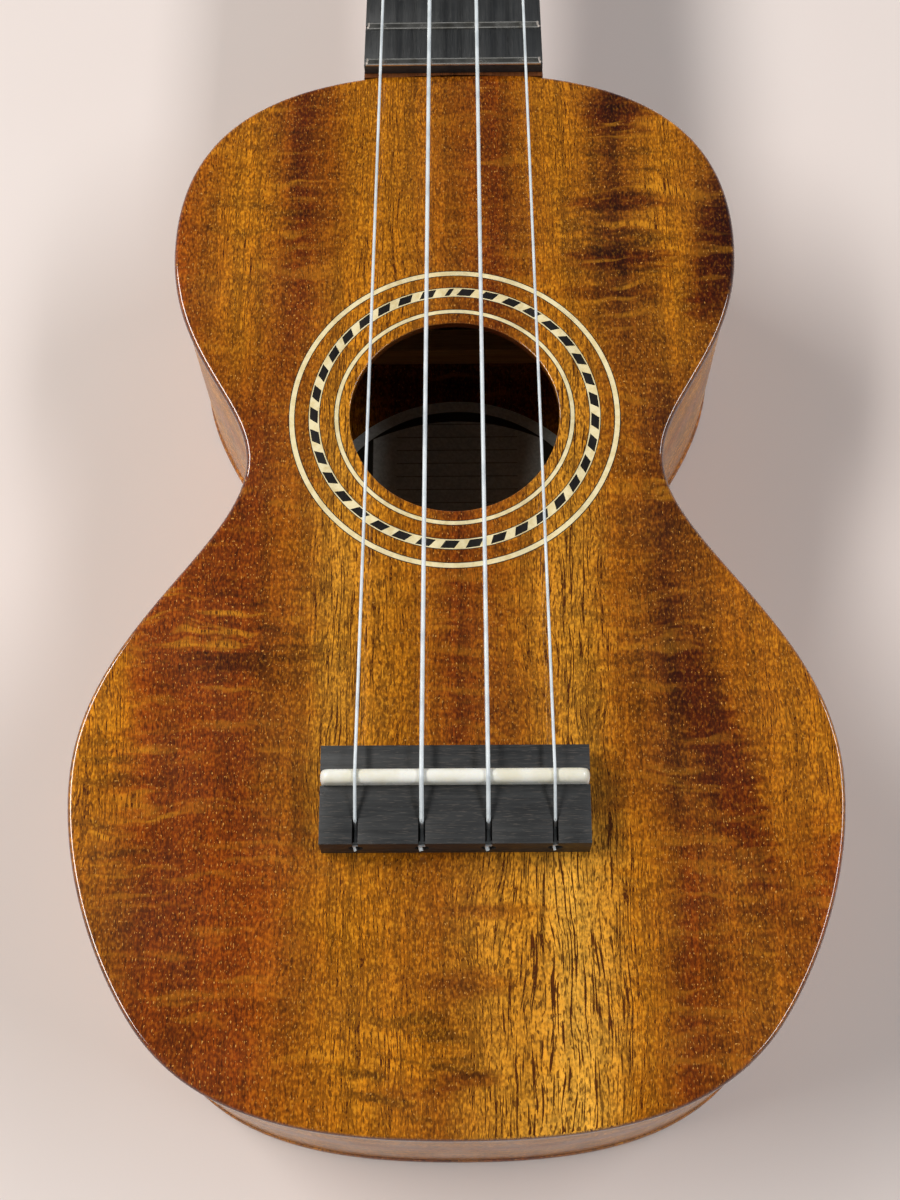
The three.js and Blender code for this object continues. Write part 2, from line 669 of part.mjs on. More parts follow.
// The gear has a gap between teeth facing the worm.
function gear() {
  const { teeth, tip, root, thickness, level, tipHalf, rootHalf } = GEAR;
  const flanks = [[root, -rootHalf], [tip, -tipHalf], [tip, tipHalf], [root, rootHalf]];
  const points = [];
  for (let tooth = 0; tooth < teeth; tooth += 1) {
    const middle = -Math.PI / 2 + (2 * Math.PI * (tooth + 0.5)) / teeth;
    for (const [radius, offset] of flanks) {
      const angle = middle + offset / radius;
      points.push(point(radius * Math.cos(angle), radius * Math.sin(angle)));
    }
  }
  return raised(new THREE.Shape(points), level - thickness / 2, level + thickness / 2);
}

const PIVOT = { radius: 1.4, bottom: -21.8, seat: 0.5 };
const WAIST_SPAN = [5, 6, 10, 12]; // where the post starts to narrow, is narrow, and is full again
const EYE = { radius: 0.8, sides: 8, level: 9 };
const POST_CROWN = { drop: 1.2, inset: 1 };

function post() {
  const gearTop = GEAR.level + GEAR.thickness / 2 - PIVOT.seat;
  const profile = [
    [0, PIVOT.bottom],
    [PIVOT.radius, PIVOT.bottom],
    [PIVOT.radius, gearTop],
    [POST_R, gearTop],
    [POST_R, WAIST_SPAN[0]],
    [POST_WAIST, WAIST_SPAN[1]],
    [POST_WAIST, WAIST_SPAN[2]],
    [POST_R, WAIST_SPAN[3]],
    [POST_R, POST_TOP - POST_CROWN.drop],
    [POST_R - POST_CROWN.inset, POST_TOP],
    [0, POST_TOP],
  ];
  const eye = disc(EYE.radius, -2 * POST_R, 2 * POST_R, EYE.sides).rotateY(Math.PI / 2);
  eye.translate(0, 0, EYE.level);
  return solid(turned(profile, ROUND)).add(solid(gear())).subtract(solid(eye));
}

const THREAD = { stepsPerTurn: 9, rootHalf: 0.55, tipHalf: 0.24, sunk: 0.25 };

// A right-handed thread: its ridge passes x = 0 on the side that faces the gear.
function thread() {
  const { stepsPerTurn, rootHalf, tipHalf, sunk } = THREAD;
  const pitch = (2 * Math.PI * GEAR.pitchR) / GEAR.teeth;
  const steps = Math.floor((WORM.halfLength / pitch) * stepsPerTurn);
  const root = WORM.root - sunk;
  const corners = [[-rootHalf, root], [-tipHalf, WORM.tip], [tipHalf, WORM.tip], [rootHalf, root]];
  const rings = [];
  for (let step = -steps; step <= steps; step += 1) {
    const angle = (2 * Math.PI * step) / stepsPerTurn;
    const x = (pitch * step) / stepsPerTurn;
    const [c, s] = [Math.cos(angle), Math.sin(angle)];
    rings.push(corners.map(([dx, r]) => new THREE.Vector3(x + dx, r * c, r * s)));
  }
  return loft(rings.map((ringPoints) => ringPoints.reverse()));
}

function alongX(profile, sides) {
  return turned(profile, sides).rotateY(Math.PI / 2);
}

const SHAFT_END = -5.3;
const SHAFT_SIDES = 10;
const COLLAR = { length: 2.6, inner: 2.6, outer: 3.1, into: 0.6, sides: 12 };
const BUTTON_SIDES = 14;
// The button's cross-sections, as [distance along the shaft, share of its full width].
const BUTTON_RINGS = [[0, 0.5], [1.5, 0.8], [7, 1], [12.5, 0.85], [14, 0.5]];
const BUTTON_FLAT = 0.4; // share of the thickness that stays the same along the button

// Worm, shaft and finger button turn together about the local X axis.
function wormAndButton(side) {
  const { start, halfWidth, halfThickness } = BUTTON;
  const shaftProfile = [[0, SHAFT_END], [WORM.root, SHAFT_END], [WORM.root, start + 1], [0, start + 1]];
  const collarProfile = [
    [0, start - COLLAR.length],
    [COLLAR.inner, start - COLLAR.length],
    [COLLAR.outer, start + COLLAR.into],
    [0, start + COLLAR.into],
  ];
  const rings = BUTTON_RINGS.map(([along, scale]) => {
    const ringPoints = [];
    for (let i = 0; i < BUTTON_SIDES; i += 1) {
      const angle = (2 * Math.PI * i) / BUTTON_SIDES;
      const y = halfWidth * scale * Math.cos(angle);
      const z = halfThickness * (BUTTON_FLAT + (1 - BUTTON_FLAT) * scale) * Math.sin(angle);
      ringPoints.push(new THREE.Vector3(start + along, y, z));
    }
    return ringPoints;
  });
  const shaft = solid(alongX(shaftProfile, SHAFT_SIDES));
  const collar = solid(alongX(collarProfile, COLLAR.sides));
  const outward = shaft.add(collar).add(solid(loft(rings)));
  const turnedRound = side > 0 ? outward : solid(geometryOf(outward).rotateZ(Math.PI));
  return turnedRound.add(solid(thread()));
}

function tuner({ number, side, along }) {
  const group = new THREE.Group();
  group.position.set(side * POST_X, along, 0);
  group.add(piece(`tuner_housing_${number}`, housing(side), chrome()));
  group.add(piece(`tuner_bushing_${number}`, bushing(), chrome()));
  group.add(piece(`tuner_post_${number}`, post(), chrome()));
  const turning = piece(`tuner_button_${number}`, wormAndButton(side), buttonBlack());
  turning.position.set(0, WORM.offset, GEAR.level);
  group.add(turning);
  return group;
}

// ---------------------------------------------------------------- strings
// A path through hand-placed stations, one step of the tube to each station.
class StationPath extends THREE.Curve {
  constructor(stations) {
    super();
    this.stations = stations;
  }

  getPoint(t, target = new THREE.Vector3()) {
    const last = this.stations.length - 1;
    const index = Math.min(Math.floor(t * last + 1e-6), last - 1);
    return target.lerpVectors(this.stations[index], this.stations[index + 1], t * last - index);
  }

  getPointAt(u, target) {
    return this.getPoint(u, target);
  }

  getTangentAt(u, target = new THREE.Vector3()) {
    const step = 0.5 / (this.stations.length - 1);
    const before = this.getPoint(Math.max(u - step, 0));
    return this.getPoint(Math.min(u + step, 1), target).sub(before).normalize();
  }
}

const STRING_CLEARANCE = 0.06; // between a string and what carries it
const STRING_SIDES = 8;
const PAST_BRIDGE = 1; // the strings' ends stand this far out of the bridge
const OVER_SADDLE = [[-2, -0.75], [-1.2, -0.25], [0, 0]]; // where a string bends over the saddle, as [y, z]
const NUT_EDGE = 0.4;

function stringStations({ order, diameter, near }) {
  const radius = diameter / 2;
  const lift = radius + STRING_CLEARANCE;
  const saddleX = order * SPACING_SADDLE;
  const nutX = order * SPACING_NUT;
  const slope = BRIDGE.slotDrop / (BRIDGE.slotStart - BRIDGE.tail);
  const onSlope = lift / Math.cos(Math.atan(slope));
  const slotTop = DEPTH + BRIDGE.height + onSlope;
  const saddleTop = DEPTH + SADDLE.top + lift;
  const nutFloor = DEPTH + NUT.stringFloor + lift;
  const nutBackDrop = NUT_SLOPE * (NUT.thickness - NUT_EDGE);
  const postSide = Math.sign(order) * (POST_X - POST_WAIST - radius - GLUE);
  const post = new THREE.Vector3(postSide, near ? POST_NEAR : POST_FAR, STRING_AT_POST);
  post.applyMatrix4(headFrame);
  const nutBack = new THREE.Vector3(nutX, HEAD_START, nutFloor - nutBackDrop);
  const tailEnd = BRIDGE.tail - PAST_BRIDGE;
  return [
    new THREE.Vector3(saddleX, tailEnd, slotTop - BRIDGE.slotDrop - slope * PAST_BRIDGE),
    new THREE.Vector3(saddleX, BRIDGE.slotStart, slotTop),
    ...OVER_SADDLE.map(([y, z]) => new THREE.Vector3(saddleX, SADDLE_Y + y, saddleTop + z)),
    new THREE.Vector3((saddleX + nutX) / 2, (SADDLE_Y + NUT_Y) / 2, (saddleTop + nutFloor) / 2),
    new THREE.Vector3(nutX, NUT_Y + NUT_EDGE, nutFloor),
    nutBack,
    new THREE.Vector3().lerpVectors(nutBack, post, 0.5),
    post,
  ];
}

function stringTube(spec) {
  const section = new THREE.Shape();
  for (let i = 0; i < STRING_SIDES; i += 1) {
    const angle = (2 * Math.PI * (i + 0.5)) / STRING_SIDES;
    const [x, y] = [(spec.diameter / 2) * Math.cos(angle), (spec.diameter / 2) * Math.sin(angle)];
    if (i === 0) section.moveTo(x, y);
    else section.lineTo(x, y);
  }
  const stations = stringStations(spec);
  const options = { steps: stations.length - 1, extrudePath: new StationPath(stations) };
  return new THREE.ExtrudeGeometry(section, options);
}

// ---------------------------------------------------------------- the instrument
function headstock() {
  const group = new THREE.Group();
  group.applyMatrix4(headFrame);
  group.add(piece("headplate", headplate(), koa()));
  for (const spec of TUNERS) group.add(tuner(spec));
  return group;
}

const ukulele = new THREE.Group();
ukulele.add(...soundBox());
ukulele.add(piece("bridge", bridge(), ebony()));
ukulele.add(piece("saddle", saddle(), bone()));
ukulele.add(piece("neck", neck(), neckWood()));
ukulele.add(piece("fretboard", fretboard(), ebony()));
ukulele.add(piece("nut", nut(), bone()));
for (let number = 1; number <= FRETS; number += 1) {
  ukulele.add(piece(`fret_${number}`, fret(number), nickel()));
}
ukulele.add(headstock());
for (const spec of STRINGS) {
  ukulele.add(piece(spec.name, stringTube(spec), nylon()));
}

const extent = new THREE.Box3().setFromObject(ukulele, true);
ukulele.position.y = -(extent.min.y + extent.max.y) / 2;

export default ukulele;
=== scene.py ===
"""Soprano ukulele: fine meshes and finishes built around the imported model.

Lengths inside the classes are millimetres, laid out as the maker's plan is: x across, y along the strings
from the centre of the sound hole towards the headstock, z up from the outside of the back. The function
spot() turns them into the model's own frame.
"""

import logging
import math
from collections.abc import Callable, Iterable, Sequence
from dataclasses import dataclass
from enum import Enum

import bmesh
import bpy
from mathutils import Matrix, Vector, geometry


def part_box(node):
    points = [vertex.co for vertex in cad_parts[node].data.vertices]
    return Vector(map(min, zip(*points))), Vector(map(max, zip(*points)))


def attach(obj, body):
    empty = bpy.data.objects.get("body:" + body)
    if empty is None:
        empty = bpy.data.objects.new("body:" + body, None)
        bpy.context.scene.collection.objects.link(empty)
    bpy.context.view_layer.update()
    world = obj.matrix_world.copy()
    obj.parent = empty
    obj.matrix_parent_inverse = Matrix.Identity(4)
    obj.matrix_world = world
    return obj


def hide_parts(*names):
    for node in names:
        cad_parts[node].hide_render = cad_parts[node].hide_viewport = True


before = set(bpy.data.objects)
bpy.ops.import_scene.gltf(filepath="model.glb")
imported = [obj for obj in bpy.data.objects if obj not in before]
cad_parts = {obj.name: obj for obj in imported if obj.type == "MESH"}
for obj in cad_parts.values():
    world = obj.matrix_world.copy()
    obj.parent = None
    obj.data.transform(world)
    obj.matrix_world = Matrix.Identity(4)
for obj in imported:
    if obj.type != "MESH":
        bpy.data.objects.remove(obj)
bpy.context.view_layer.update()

LOG = logging.getLogger("ukulele")
MM = 0.001
Colour = tuple[float, float, float, float]
Pair = tuple[float, float]
Triple = tuple[float, float, float]


def middle_of(node: str) -> Vector:
    """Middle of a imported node's box, in metres."""
    low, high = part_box(node)
    return (low + high) / 2


HOLE_Y = middle_of("rosette_inner_ring").y
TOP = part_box("rosette_inner_ring")[1].z / MM
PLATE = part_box("back")[1].z / MM
UNDERSIDE = TOP - PLATE


def spot(x: float, y: float, z: float) -> Vector:
    """Turns a place on the maker's plan into the model's frame.

    Args:
        x: Millimetres to the right of the middle line.
        y: Millimetres from the sound hole's centre towards the headstock.
        z: Millimetres above the outside of the back.

    Returns:
        The place in metres.
    """
    return Vector((x * MM, HOLE_Y + y * MM, z * MM))


def tone(code: str) -> Colour:
    """Turns a six-digit colour code into a linear colour."""
    parts = [int(code[i : i + 2], 16) / 255 for i in (0, 2, 4)]
    linear = [p / 12.92 if p <= 0.04045 else ((p + 0.055) / 1.055) ** 2.4 for p in parts]
    return (linear[0], linear[1], linear[2], 1.0)


# ---------------------------------------------------------------- node trees


class Graph:
    """Adds nodes to a tree and joins them up."""

    def __init__(self, tree: bpy.types.NodeTree) -> None:
        """Keeps the tree that nodes go into."""
        self.tree = tree

    def feed(self, socket: bpy.types.NodeSocket, value: object) -> None:
        """Joins an output to a socket, or sets the socket to a plain value."""
        if isinstance(value, bpy.types.NodeSocket):
            self.tree.links.new(value, socket)
        else:
            socket.default_value = value

    def node(
        self, kind: str, inputs: dict[str | int, object] | None = None, **settings: object
    ) -> bpy.types.Node:
        """Adds one node.

        Args:
            kind: The node's type.
            inputs: Values or outputs for its sockets, by name or number.
            **settings: Values for the node's own properties.

        Returns:
            The node.
        """
        made = self.tree.nodes.new(kind)
        for key, value in settings.items():
            setattr(made, key, value)
        for key, value in (inputs or {}).items():
            self.feed(made.inputs[key], value)
        return made

    def math(self, operation: str, *values: object, clamp: bool = False) -> bpy.types.NodeSocket:
        """Adds a Math node and returns its output."""
        made = self.node("ShaderNodeMath", dict(enumerate(values)), operation=operation, use_clamp=clamp)
        return made.outputs[0]

    def vector(self, operation: str, *values: object) -> bpy.types.NodeSocket:
        """Adds a Vector Math node and returns its first output."""
        made = self.node("ShaderNodeVectorMath", dict(enumerate(values)), operation=operation)
        return made.outputs[0]

    def combine(self, x: object, y: object, z: object) -> bpy.types.NodeSocket:
        """Joins three numbers into a vector."""
        return self.node("ShaderNodeCombineXYZ", {0: x, 1: y, 2: z}).outputs[0]

    def split(self, value: object) -> tuple[bpy.types.NodeSocket, ...]:
        """Splits a vector into its three numbers."""
        return tuple(self.node("ShaderNodeSeparateXYZ", {0: value}).outputs)


class Shade(Graph):
    """Node helpers for surfaces."""

    def mix(self, factor: object, a: object, b: object, blend: str = "MIX") -> bpy.types.NodeSocket:
        """Mixes two colours.

        Args:
            factor: Share of the second colour.
            a: First colour.
            b: Second colour.
            blend: How the two are blended.

        Returns:
            The mixed colour.
        """
        made = self.node("ShaderNodeMix", {0: factor, 6: a, 7: b}, data_type="RGBA", blend_type=blend)
        return made.outputs[2]

    def lerp(self, factor: object, a: object, b: object) -> bpy.types.NodeSocket:
        """Mixes two numbers."""
        return self.node("ShaderNodeMix", {0: factor, 2: a, 3: b}, data_type="FLOAT").outputs[0]

    def offset(self, base: object, noise: object, amount: float) -> bpy.types.NodeSocket:
        """Moves a number by up to half an amount either way, as a noise says."""
        return self.math("MULTIPLY_ADD", self.math("SUBTRACT", noise, 0.5), amount, base)

    def dim(self, colour: object, factor: object) -> bpy.types.NodeSocket:
        """Makes a colour lighter or darker."""
        return self.mix(1.0, colour, self.combine(factor, factor, factor), "MULTIPLY")

    def noise(self, vector: object, scale: float = 1.0, detail: float = 2.0) -> bpy.types.NodeSocket:
        """Noise between 0 and 1, mostly near a half."""
        return self.node(
            "ShaderNodeTexNoise", {"Vector": vector, "Scale": scale, "Detail": detail}
        ).outputs[0]

    def stretch(self, vector: object, scale: Triple, shift: Triple = (0, 0, 0)) -> bpy.types.NodeSocket:
        """Scales and shifts a vector."""
        return self.node(
            "ShaderNodeMapping", {"Vector": vector, "Location": shift, "Scale": scale}
        ).outputs[0]

    def ease(
        self, value: object, low: float, high: float, out_low: float = 0.0, out_high: float = 1.0
    ) -> bpy.types.NodeSocket:
        """Maps a number smoothly from one range to another.

        Args:
            value: The number.
            low: Where the range starts.
            high: Where the range ends.
            out_low: The result at and below low.
            out_high: The result at and above high.

        Returns:
            The mapped number.
        """
        made = self.node(
            "ShaderNodeMapRange",
            {0: value, 1: low, 2: high, 3: out_low, 4: out_high},
            interpolation_type="SMOOTHSTEP",
        )
        return made.outputs[0]

    def ramp(self, value: object, stops: Sequence[tuple[float, Colour]]) -> bpy.types.NodeSocket:
        """Turns a number from 0 to 1 into a colour through a row of stops."""
        made = self.node("ShaderNodeValToRGB", {0: value})
        elements = made.color_ramp.elements
        while len(elements) < len(stops):
            elements.new(1.0)
        for element, (place, colour) in zip(elements, stops):
            element.position = place
            element.color = colour
        return made.outputs[0]

    def group(self, tree: bpy.types.NodeTree, inputs: dict[str, object]) -> bpy.types.Node:
        """Places a node group."""
        made = self.node("ShaderNodeGroup", node_tree=tree)
        for key, value in inputs.items():
            self.feed(made.inputs[key], value)
        return made

    def plan_place(self) -> bpy.types.NodeSocket:
        """The place on the maker's plan, in millimetres."""
        place = self.node("ShaderNodeTexCoord").outputs["Object"]
        return self.stretch(place, (1 / MM, 1 / MM, 1 / MM), (0.0, -HOLE_Y / MM, 0.0))

    def bump(self, height: object, distance: float, strength: float = 1.0) -> bpy.types.NodeSocket:
        """Turns a height into a normal; distance is in metres."""
        return self.node(
            "ShaderNodeBump", {"Height": height, "Distance": distance, "Strength": strength}
        ).outputs[0]


def new_group(
    name: str, inputs: dict[str, tuple[str, object]], outputs: dict[str, str]
) -> tuple[Shade, dict, dict]:
    """Starts a shader node group.

    Args:
        name: The group's name.
        inputs: Socket type and default of each input, by name.
        outputs: Socket type of each output, by name.

    Returns:
        The group's graph, its input sockets by name, and its output sockets by name.
    """
    tree = bpy.data.node_groups.new(name, "ShaderNodeTree")
    for key, (kind, value) in inputs.items():
        item = tree.interface.new_socket(name=key, in_out="INPUT", socket_type=kind)
        if kind != "NodeSocketVector":
            item.default_value = value
    for key, kind in outputs.items():
        tree.interface.new_socket(name=key, in_out="OUTPUT", socket_type=kind)
    entry = tree.nodes.new("NodeGroupInput")
    leave = tree.nodes.new("NodeGroupOutput")
    return Shade(tree), {
        s.name: s for s in entry.outputs if s.name
    }, {s.name: s for s in leave.inputs if s.name}


FLOAT = "NodeSocketFloat"
VECTOR = "NodeSocketVector"


class Patterns:
    """The node groups that the finishes share, each built once."""

    def __init__(self) -> None:
        """Builds every group."""
        self.fibre = self.build_fibre()
        self.handling = self.build_handling()

    def build_fibre(self) -> bpy.types.NodeTree:
        """Long thin marks that run along y: pores, fibres and streaks of a wood."""
        sizes = {
            "Place": (VECTOR, None),
            "Width": (FLOAT, 1.0),
            "Length": (FLOAT, 10.0),
            "Start": (FLOAT, 0.5),
            "End": (FLOAT, 0.6),
            "Detail": (FLOAT, 1.0),
        }
        graph, given, made = new_group("fibre", sizes, {"Value": FLOAT, "Mask": FLOAT})
        x, y, z = graph.split(given["Place"])
        stretched = graph.combine(
            graph.math("DIVIDE", x, given["Width"]),
            graph.math("DIVIDE", y, given["Length"]),
            graph.math("DIVIDE", z, given["Width"]),
        )
        noise = graph.node(
            "ShaderNodeTexNoise", {"Vector": stretched, "Scale": 1.0, "Detail": given["Detail"]}
        )
        reach = graph.node(
            "ShaderNodeMapRange",
            {0: noise.outputs[0], 1: given["Start"], 2: given["End"]},
            interpolation_type="SMOOTHSTEP",
        )
        graph.feed(made["Value"], noise.outputs[0])
        graph.feed(made["Mask"], reach.outputs[0])
        return graph.tree

    def build_handling(self) -> bpy.types.NodeTree:
        """Faint smears and fine rubbing left by hands and cloths, as a change of roughness."""
        sizes = {"Place": (VECTOR, None), "Size": (FLOAT, 12.0), "Low": (FLOAT, 0.1), "High": (FLOAT, 0.2)}
        graph, given, made = new_group("handling", sizes, {"Value": FLOAT})
        scaled = graph.node("ShaderNodeVectorMath", {0: given["Place"]}, operation="SCALE")
        graph.feed(scaled.inputs["Scale"], graph.math("DIVIDE", 1.0, given["Size"]))
        smear = graph.noise(scaled.outputs[0], 1.0, 5.0)
        level = graph.ease(smear, 0.3, 0.7)
        spread = graph.math("SUBTRACT", given["High"], given["Low"])
        graph.feed(made["Value"], graph.math("ADD", given["Low"], graph.math("MULTIPLY", level, spread)))
        return graph.tree


PATTERNS = Patterns()


def surface(name: str, plain: dict[str, object]) -> tuple[bpy.types.Material, Shade, bpy.types.Node]:
    """Starts a material.

    Args:
        name: The material's name.
        plain: Values for the shader's own sockets, by name.

    Returns:
        The material, its graph and its shader node.
    """
    material = bpy.data.materials.new(name)
    material.use_nodes = True
    graph = Shade(material.node_tree)
    shader = material.node_tree.nodes["Principled BSDF"]
    for key, value in plain.items():
        shader.inputs[key].default_value = value
    return material, graph, shader


class Run(Enum):
    """Which way a wood's grain runs in a piece."""

    ALONG_STRINGS = "along the strings"
    ACROSS = "across the instrument"
    UP = "up and down"
    BENT = "along a bent side"


def grain_place(graph: Shade, run: Run) -> bpy.types.NodeSocket:
    """The place on the maker's plan, turned so that the grain runs along its y.

    Args:
        graph: The material's graph.
        run: Which way the grain runs.

    Returns:
        The turned place, in millimetres.
    """
    place = graph.plan_place()
    if run is Run.ALONG_STRINGS:
        return place
    x, y, z = graph.split(place)
    if run is Run.ACROSS:
        return graph.combine(y, x, z)
    if run is Run.UP:
        return graph.combine(x, z, y)
    along = graph.node("ShaderNodeAttribute", attribute_name="along").outputs["Fac"]
    return graph.combine(z, graph.math("DIVIDE", along, MM), 0.0)


class KoaTone(Enum):
    """The tones of koa, from the palest sapwood gold to the darkest heartwood."""

    GOLD = "E2AC4C"
    HONEY = "C68C30"
    AMBER = "B07014"
    TAWNY = "985A10"
    RUSSET = "863E08"
    CHESTNUT = "743406"
    UMBER = "5A2C0A"


Bands = tuple[tuple[float, KoaTone], ...]


def stripes(graph: Shade, across: object, half_width: float, bands: Bands) -> bpy.types.NodeSocket:
    """Colours a board in bands.

    Args:
        graph: The material's graph.
        across: Millimetres across the board.
        half_width: Half of the board's width.
        bands: Place and tone of each band's middle.

    Returns:
        The colour.
    """
    share = graph.math("MULTIPLY_ADD", across, 0.5 / half_width, 0.5)
    return graph.ramp(share, [(0.5 + x / (2 * half_width), tone(shade.value)) for x, shade in bands])


class Figure(Enum):
    """What a patch of a figured board shows."""

    FLAME = "light and dark waves across the grain"
    SHADE = "darker wood"
    GLOW = "lighter wood"


@dataclass(frozen=True)
class Patch:
    """An oval patch of figure with a ragged edge, in millimetres on the board; turn is in degrees."""

    kind: Figure
    x: float
    y: float
    half_x: float
    half_y: float
    strength: float = 1.0
    turn: float = 0.0

    def mask(self, graph: Shade, place: object, ragged: object) -> bpy.types.NodeSocket:
        """How much of the patch shows at a place, from 0 to its strength."""
        sizes = {
            "Vector": place,
            "Location": (self.x, self.y, 0.0),
            "Rotation": (0.0, 0.0, math.radians(self.turn)),
            "Scale": (self.half_x, self.half_y, 1e6),
        }
        within = graph.node("ShaderNodeMapping", sizes, vector_type="TEXTURE").outputs[0]
        away = graph.node("ShaderNodeVectorMath", {0: within}, operation="LENGTH").outputs["Value"]
        return graph.ease(graph.offset(away, ragged, 1.3), 1.25, 0.45, 0.0, self.strength)


@dataclass(frozen=True)
class KoaFinish:
    """Figured koa under a thick gloss lacquer, coloured in bands that change along the board."""

    name: str
    shoulders: Bands
    waist: Bands
    tail: Bands
    patches: tuple[Patch, ...] = ()
    run: Run = Run.ALONG_STRINGS
    half_width: float = 80.0
    flame: float = 0.3
    coat: float = 1.0
    coat_rough: float = 0.035
    # rim: height of the top face; below it the colour gets painted shade, darkening towards dark brown.
    rim: float | None = None
    lacquer: Colour = (1.04, 0.92, 0.6, 1.0)

    def make(self) -> bpy.types.Material:
        """Builds the material."""
        plain = {
            "Coat Weight": self.coat,
            "Coat Roughness": self.coat_rough,
            "Coat IOR": 1.7,
            "Specular IOR Level": 0.1,
        }
        material, graph, shader = surface(self.name, plain)
        place = grain_place(graph, self.run)
        x, y, z = graph.split(place)
        drift = graph.noise(graph.stretch(place, (0.035, 0.012, 0.03)), 1.0, 3.0)
        comb = graph.noise(graph.stretch(place, (0.1, 0.55, 0.1)), 1.0, 3.0)
        wander = graph.offset(x, drift, 13.0)
        sway = graph.offset(wander, comb, 9.0)
        colours = [stripes(graph, sway, self.half_width, p) for p in (self.tail, self.waist, self.shoulders)]
        lower = graph.ease(graph.offset(y, comb, 22.0), -104.0, -82.0)
        upper = graph.ease(graph.offset(y, drift, 40.0), -8.0, 30.0)
        colour = graph.mix(upper, graph.mix(lower, colours[0], colours[1]), colours[2])
        colour = self.add_figure(graph, colour, place, comb)
        # Dark pores, then painted highlight: small bright painted glints.
        colour = self.add_pores_and_glints(graph, colour, graph.combine(wander, y, z))
        # Painted shade: below the top face, on the rounded edge, the hole's wall and the underside, the
        # colour darkens towards dark brown.
        if self.rim is not None:
            edge = graph.ease(z, self.rim - 0.05, self.rim - 0.5, 0.0, 0.85)
            colour = graph.mix(edge, colour, tone("431606"))
        graph.feed(shader.inputs["Base Color"], graph.mix(1.0, colour, self.lacquer, "MULTIPLY"))
        smears = {"Place": place, "Size": 20.0, "Low": 0.28, "High": 0.42}
        graph.feed(shader.inputs["Roughness"], graph.group(PATTERNS.handling, smears).outputs[0])
        return material

    def patch_mask(self, graph: Shade, kind: Figure, place: object, ragged: object) -> object:
        """How much of any patch of one kind shows at a place."""
        total: object = self.flame if kind is Figure.FLAME else 0.0
        for patch in self.patches:
            if patch.kind is kind:
                total = graph.math("MAXIMUM", total, patch.mask(graph, place, ragged))
        return total

    def add_figure(self, graph: Shade, colour: object, place: object, ragged: object) -> bpy.types.NodeSocket:
        """Lays patches, streaks and waves over the banded colour.

        Args:
            graph: The material's graph.
            colour: The banded colour.
            place: The place, with the grain along y.
            ragged: Noise that frays the patches' edges.

        Returns:
            The figured colour.
        """
        shade = self.patch_mask(graph, Figure.SHADE, place, ragged)
        colour = graph.mix(shade, colour, graph.mix(1.0, colour, tone("A06A48"), "MULTIPLY"))
        glow = self.patch_mask(graph, Figure.GLOW, place, ragged)
        colour = graph.mix(glow, colour, tone("C07C10"))
        streak = graph.group(PATTERNS.fibre, {"Place": place, "Width": 2.4, "Length": 50.0, "Detail": 3.0})
        thread = graph.group(PATTERNS.fibre, {"Place": place, "Width": 0.5, "Length": 12.0, "Detail": 2.0})
        grit = graph.noise(graph.stretch(place, (1.9, 1.1, 1.9)), 1.0, 6.0)
        light = graph.ease(streak.outputs["Value"], 0.3, 0.7, 0.78, 1.24)
        light = graph.math("MULTIPLY", light, graph.ease(thread.outputs["Value"], 0.3, 0.7, 0.86, 1.16))
        light = graph.math("MULTIPLY", light, graph.ease(grit, 0.34, 0.66, 0.62, 1.3))
        x, y, z = graph.split(place)
        swell = graph.noise(graph.stretch(place, (0.06, 0.09, 0.06)), 1.0, 2.0)
        level = graph.offset(y, swell, 9.0)
        wave = graph.combine(
            graph.math("DIVIDE", x, 17.0), graph.math("DIVIDE", level, 2.5), graph.math("DIVIDE", z, 9.0)
        )
        wave = graph.noise(wave, 1.0, 2.6)
        flame = self.patch_mask(graph, Figure.FLAME, place, ragged)
        dark = graph.math("MULTIPLY", graph.ease(wave, 0.5, 0.34), flame)
        light = graph.math("MULTIPLY", light, graph.math("MULTIPLY_ADD", dark, -0.55, 1.0))
        bright = graph.math("MULTIPLY", graph.ease(wave, 0.53, 0.72), flame)
        light = graph.math("MULTIPLY", light, graph.math("MULTIPLY_ADD", bright, 0.3, 1.0))
        green = graph.node("ShaderNodeSeparateColor", {0: colour}).outputs[1]
        sparkle = graph.math("MULTIPLY", graph.ease(grit, 0.5, 0.7), graph.ease(green, 0.04, 0.2, 0.12, 0.6))
        colour = graph.mix(sparkle, graph.dim(colour, light), tone("E0A434"))
        return graph.mix(graph.math("MULTIPLY", bright, 0.7), colour, tone("D6962A"))

    def add_pores_and_glints(self, graph: Shade, colour: object, place: object) -> bpy.types.NodeSocket:
        """Lays dark pores over the light wood and painted glints, sparse bright specks of painted highlight,
        over the dark wood.

        Args:
            graph: The material's graph.
            colour: The figured colour.
            place: The place, with the grain along y.

        Returns:
            The finished colour.
        """
        red, green, _ = graph.node("ShaderNodeSeparateColor", {0: colour}).outputs
        golden = graph.ease(green, 0.06, 0.24)
        marks = {"Place": place, "Width": 0.3, "Length": 1.7, "Start": 0.58, "End": 0.63, "Detail": 1.0}
        short = graph.group(PATTERNS.fibre, marks).outputs["Mask"]
        marks.update({"Width": 0.34, "Length": 9.0, "Start": 0.575, "End": 0.61})
        long = graph.math("MULTIPLY", graph.group(PATTERNS.fibre, marks).outputs["Mask"], golden)
        both = graph.math("MAXIMUM", graph.math("MULTIPLY", short, 0.8), long)
        dark = graph.math("MULTIPLY", both, graph.math("MULTIPLY_ADD", golden, 0.35, 0.6))
        colour = graph.mix(dark, colour, graph.mix(1.0, colour, tone("4E2814"), "MULTIPLY"))
        # Painted highlight: sparse small bright specks, painted glints, lighten the darker wood towards pale
        # gold.
        marks.update({"Place": graph.vector("ADD", place, (40.0, 9.0, 3.0)), "Width": 0.28, "Length": 0.75})
        marks.update({"Start": 0.73, "End": 0.78, "Detail": 0.0})
        glint_marks = graph.group(PATTERNS.fibre, marks).outputs["Mask"]
        faint = graph.math("MULTIPLY", glint_marks, graph.ease(green, 0.02, 0.2, 0.75, 0.0))
        faint = graph.math("MULTIPLY", faint, graph.ease(red, 0.06, 0.16))
        return graph.mix(faint, colour, tone("E8B068"))


